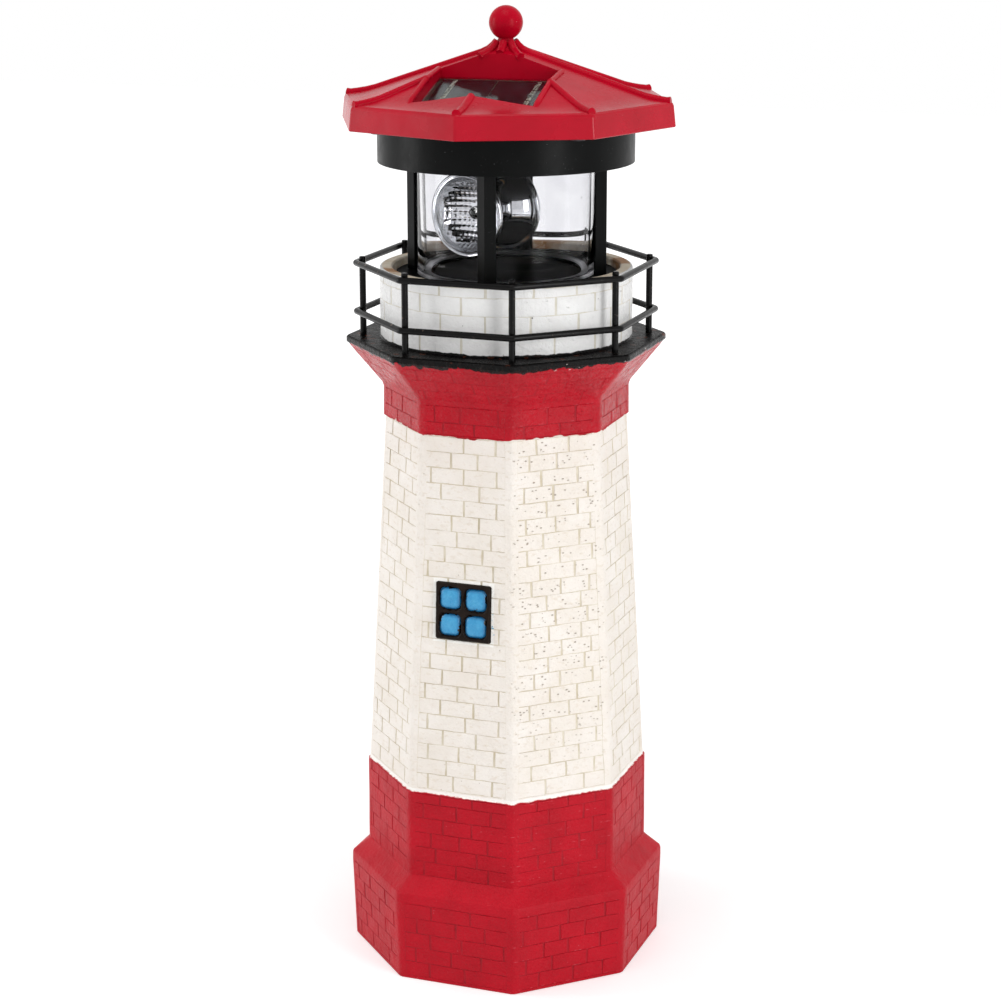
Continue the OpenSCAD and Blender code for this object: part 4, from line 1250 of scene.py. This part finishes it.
def makeTubeAcrylic():
    finish = Finish("tubeAcrylic", IOR=1.16, Transmission_Weight=1.0)
    # dark flecks, mostly on the right of the front, and faint haze
    flecks = finish.times(finish.ramp(finish.cells(4.2, finish.stretched(1, 1, 0.5)), 0.075, 0.055),
                          finish.inside(finish.along("X"), 9, 25, 2), finish.patches(7, 2, 0.5, 0.55))
    clear = finish.tones(14, 4, *glazing["tint"], 0.35, 0.75)
    # the ring that the tube stands on is cloudier
    onRing = finish.ramp(finish.along("Z"), glazing["ringTop"] + 0.6, glazing["ringTop"] + 0.1)
    clear = finish.mix(onRing, clear, glazing["cloudy"])
    finish.paint(finish.mix(flecks, clear, glazing["fleck"]))
    smears = finish.patches(6, 4, 0.35, 0.8, 0.0, 0.06)
    finish.set("Roughness", finish.plus(smears, finish.times(onRing, 0.3)))
    finish.grain((24, 2, 0.1))
    return finish.material


def makeLantern(plastic):
    for node, (name, width) in housing.items():
        bevelledCopy(node, name, plastic, width, "lantern", "housing_black")
    outer, inner = glazing["radius"], glazing["radius"] - glazing["wall"]
    low, high = glazing["foot"], glazing["top"]
    ring, foot = glazing["ringTop"], glazing["ringRadius"]
    profile = [(foot, low), (outer, low), (outer, high), (inner, high), (inner, ring + 0.7),
               (inner - 0.2, ring + 0.25), (inner - 0.7, ring), (foot + 0.3, ring), (foot, ring - 0.3)]
    mesh = spun("clearTube", profile, 160)
    smoothEdges(mesh, 50)
    fit(newPiece("clearTube", mesh, makeTubeAcrylic()), "lantern", "tube_clear", "clear_tube")
    print("stage: lantern ready")


housingPlastic = makeHousingPlastic()
makeLantern(housingPlastic)


# Beacon: two chromed reflectors back to back, each with its lamp

beacon = {
    "axis": (-7.780, -0.558),
    "heading": -16.0,         # degrees; the front reflector looks along -Y turned by this
    "height": 285.2,
    "rimPlace": 12.8,         # of each rim from the shaft
    "rimRadius": 16.0,
    "bowlRadius": 14.7,
    "bowlDepth": 11.0,
    "throat": 2.6,            # radius of the hole for the lamp
    "facetWide": 1.7,
    "facetHigh": 2.1,
    "facetDepth": 0.42,
    "steps": 168,
    "lampRadius": 2.5,
    "lampLength": 5.6,
    "hubEdge": 0.25,
}


def inBeacon(across, ahead, up, turn):   # the beacon's own frame, -Y ahead, into the shared one
    spin = Matrix.Rotation(math.radians(beacon["heading"] + turn), 3, "Z")
    return spin @ Vector((across, ahead, 0)) + Vector((*beacon["axis"], beacon["height"] + up))


def bowlCurve(radius, depth, steps):   # between a parabola and a round bowl
    throat = beacon["throat"]
    turns = [math.pi / 2 * step / steps for step in range(steps + 1)]
    return [(throat + (radius - throat) * math.sin(turn), depth * (1 - (1 - math.cos(turn)) ** 0.95))
            for turn in turns]


def makeReflector(name, turn, node, chrome):
    bowl, edge = beacon["bowlRadius"], beacon["rimRadius"]
    inner = bowlCurve(bowl - 0.6, beacon["bowlDepth"] - 1, 40)
    outer = bowlCurve(bowl, beacon["bowlDepth"], 20)
    rim = [(edge - 1.75, 0.0), (edge - 1.5, 0.1), (edge - 1.35, 0.5), (edge - 1.1, 0.55),
           (edge - 0.95, 0.15), (edge - 0.6, 0.0), (edge - 0.2, 0.2),
           (edge, 0.6), (edge, 1.5), (edge - 0.2, 1.8), (bowl + 0.1, 1.8)]
    faceted = set(inner[3:-2])

    def place(radius, angle, depth):
        across, up = radius * math.cos(angle), radius * math.sin(angle)
        if (radius, depth) in faceted:
            # a pillow in each cell of the bowl, as a moulded reflector has
            wide = math.cos(math.pi * across / beacon["facetWide"]) ** 2
            high = math.cos(math.pi * up / beacon["facetHigh"]) ** 2
            inward = smoothStep(radius, 4.2, 5.2) * smoothStep(bowl - radius, 0.7, 1.5)
            depth -= beacon["facetDepth"] * math.sqrt(wide * high) * inward
        return inBeacon(across, -beacon["rimPlace"] + depth, up, turn)

    mesh = spun(name, inner + rim + outer[-2::-1], beacon["steps"], place)
    smoothEdges(mesh, 42)
    fit(newPiece(name, mesh, chrome), "beacon", "reflector_chrome", node)


def makeChrome():
    finish = Finish("reflectorChrome", Metallic=1.0)
    finish.paint(finish.tones(6, 4, (238, 239, 241), (206, 208, 211)))
    finish.rough(3, 0.03, 0.11, 4, 0.3)
    finish.grain((2.5, 3, 0.02))
    return finish.material


def makeLampResin():
    finish = Finish("lampResin", IOR=1.53, Transmission_Weight=1.0)
    finish.paint(finish.tones(1.2, 3, (250, 250, 246), (238, 240, 236)))
    finish.rough(0.8, 0.02, 0.08, start=0.3)
    return finish.material


def makeLamps():
    radius, length = beacon["lampRadius"], beacon["lampLength"]
    profile = [(0.0, 0.0), (radius, 0.0), (radius, length)]
    for step in range(1, 11):
        angle = math.pi / 2 * step / 10
        profile.append((radius * math.cos(angle), length + radius * math.sin(angle)))
    shape = bmesh.new()
    for turn in (0, 180):
        def place(reach, angle, out):
            return inBeacon(reach * math.cos(angle), -0.7 - out, reach * math.sin(angle), turn)
        shape.from_mesh(spun("lamp", profile, 40, place, loop=False))
    mesh = bpy.data.meshes.new("beaconLamps")
    shape.to_mesh(mesh)
    shape.free()
    smoothEdges(mesh, 40)
    fit(newPiece("beaconLamps", mesh, makeLampResin()), "beacon", "lamp_clear", "lamps")


def makeBeacon():
    chrome = makeChrome()
    makeReflector("reflectorAhead", 0, "reflector_front", chrome)
    makeReflector("reflectorBehind", 180, "reflector_rear", chrome)
    makeLamps()
    bevelledCopy("beacon_hub", "beaconHub", housingPlastic, beacon["hubEdge"], "beacon", "housing_black")
    print("stage: beacon ready")


makeBeacon()


# Solar panel, drive, battery and the small parts: the CAD's own shapes, each with its finish

smallFinishes = {
    # two tones, size of their patches, least and most roughness, depth of the grain, how
    # metallic, and the CAD nodes that it goes on
    "basePlastic": ((36, 36, 37), (50, 50, 51), 7, 0.5, 0.7, 0.08, 0, "base_plate"),
    "panelLaminate": ((22, 44, 32), (30, 58, 42), 6, 0.35, 0.5, 0.04, 0, "panel_board"),
    "gearNylon": ((234, 231, 220), (222, 218, 204), 5, 0.4, 0.55, 0.03, 0,
                  "beacon_gear", "motor_pinion", "brush_block"),
    "chipEpoxy": ((22, 22, 24), (38, 38, 41), 2, 0.4, 0.6, 0.03, 0, "board_parts"),
    "switchNub": ((30, 30, 31), (46, 46, 47), 2, 0.4, 0.56, 0.05, 0, "switch_slider"),
    "screwBlackened": ((44, 44, 46), (62, 62, 64), 1.5, 0.4, 0.6, 0.03, 0.6, "roof_screws"),
    "bracketZinc": ((196, 199, 204), (168, 172, 178), 3, 0.26, 0.44, 0.03, 1, "motor_bracket"),
    "switchShell": ((178, 180, 182), (146, 148, 150), 3, 0.3, 0.5, 0.03, 0.9, "switch_housing"),
}
turned = {   # metal with the fine rings that a lathe leaves
    "screwSteel": ((186, 188, 192), (150, 150, 150), 4, 0.24, 0.4, 0.02, 1, "bracket_screws"),
    "motorSteel": ((188, 190, 194), (164, 167, 172), 4, 0.2, 0.36, 0.02, 1, "motor"),
    "shaftSteel": ((206, 208, 212), (186, 188, 192), 4, 0.12, 0.24, 0.02, 1,
                   "motor_shaft", "spindle"),
    "bushingBronze": ((190, 146, 84), (158, 114, 60), 4, 0.28, 0.44, 0.02, 1, "spindle_bushing"),
    "contactBrass": ((214, 176, 96), (190, 148, 72), 4, 0.2, 0.34, 0.02, 1,
                     "slip_rings", "brushes"),
    "contactNickel": ((206, 204, 196), (180, 176, 166), 4, 0.2, 0.36, 0.02, 1,
                      "battery_contacts"),
}


def dress(material, *nodes):   # a CAD node that stays as it is gets its finish
    for node in nodes:
        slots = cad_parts[node].data.materials
        slots.clear()
        slots.append(material)


def mottled(name, first, second, size, low, high, depth, metallic, *nodes):
    finish = Finish(name, Metallic=metallic)
    finish.paint(finish.tones(size, 4, first, second))
    finish.rough(size / 3, low, high)
    finish.grain((size / 8, 4, depth))
    dress(finish.material, *nodes)
    return finish


def makeMottled():
    made = {name: mottled(name, *values) for name, values in (smallFinishes | turned).items()}
    for name in turned:
        rings = made[name].noise(0.35, 2, 0.5, made[name].stretched(0.2, 0.2, 6))
        made[name].bump(rings, 0.02)
    made["basePlastic"].set("Specular IOR Level", 0.3)
    made["gearNylon"].set("Subsurface Weight", 0.1)
    for name, size, depth in (("basePlastic", 0.9, 0.06), ("bracketZinc", 2.2, 0.02)):
        made[name].bump(made[name].cells(size), depth)


def makeCells():   # blue-black silicon with fine silver fingers
    finish = Finish("cellSilicon", Specular_IOR_Level=0.12)
    dark = finish.mix(finish.ramp(finish.cells(2.6), 0.1, 0.9), (12, 15, 20), (24, 30, 38))
    fingers = finish.times(finish.lines(finish.along("Y"), 1.7, 0.14), 0.3)
    finish.paint(finish.mix(fingers, dark, (130, 136, 140)))
    finish.rough(3, 0.16, 0.3)
    return finish.material


def makeRibbons():   # flat tinned strip, broken by solder blobs
    finish = Finish("ribbonSolder", Metallic=0.5)
    blobs = finish.patches(1.1, 2, 0.45, 0.55)
    finish.paint(finish.mix(blobs, (232, 228, 214), (60, 50, 40)))
    finish.rough(0.7, 0.3, 0.55)
    finish.bump(blobs, 0.08)
    return finish.material


def makePanelGlass():
    finish = Finish("panelGlass", IOR=1.14, Transmission_Weight=1.0)
    finish.paint(finish.tones(9, 4, (240, 244, 243), (218, 226, 224), 0.4, 0.75))
    finish.rough(5, 0.01, 0.14, 4, 0.35)
    return finish.material


def makeCircuit():   # green lacquer with copper tracks and tinned pads
    finish = Finish("circuitLacquer")
    green = finish.tones(6, 4, (22, 92, 44), (16, 76, 36))
    tracks = finish.times(finish.lines(finish.along("X"), 2.4, 0.5), finish.patches(4, 1, 0.48, 0.52))
    green = finish.mix(finish.times(tracks, 0.5), green, (70, 140, 70))
    pads = finish.ramp(finish.cells(3.4), 0.16, 0.14)
    finish.paint(finish.mix(pads, green, (206, 206, 196)))
    finish.rough(2, 0.24, 0.42)
    finish.bump(tracks, 0.05)
    return finish.material


def makeBatteryWrap():   # shrunk plastic sleeve with a pale band at one end
    finish = Finish("batteryWrap")
    wrap = finish.tones(8, 3, (38, 118, 70), (30, 100, 58))
    band = finish.inside(finish.along("X"), -20.5, -16.5, 0.3)
    finish.paint(finish.mix(band, wrap, (226, 228, 224)))
    finish.rough(4, 0.22, 0.36)
    finish.bump(finish.noise(3, 3, 0.5, finish.stretched(0.3, 1, 1)), 0.12)
    return finish.material


makeMottled()
dress(makeCells(), "solar_cells")
dress(makeRibbons(), "cell_ribbons")
dress(makePanelGlass(), "panel_glass")
dress(makeCircuit(), "circuit_board")
dress(makeBatteryWrap(), "battery")
dress(housingPlastic, "battery_holder")
print("stage: small parts dressed")

print("stage: done")
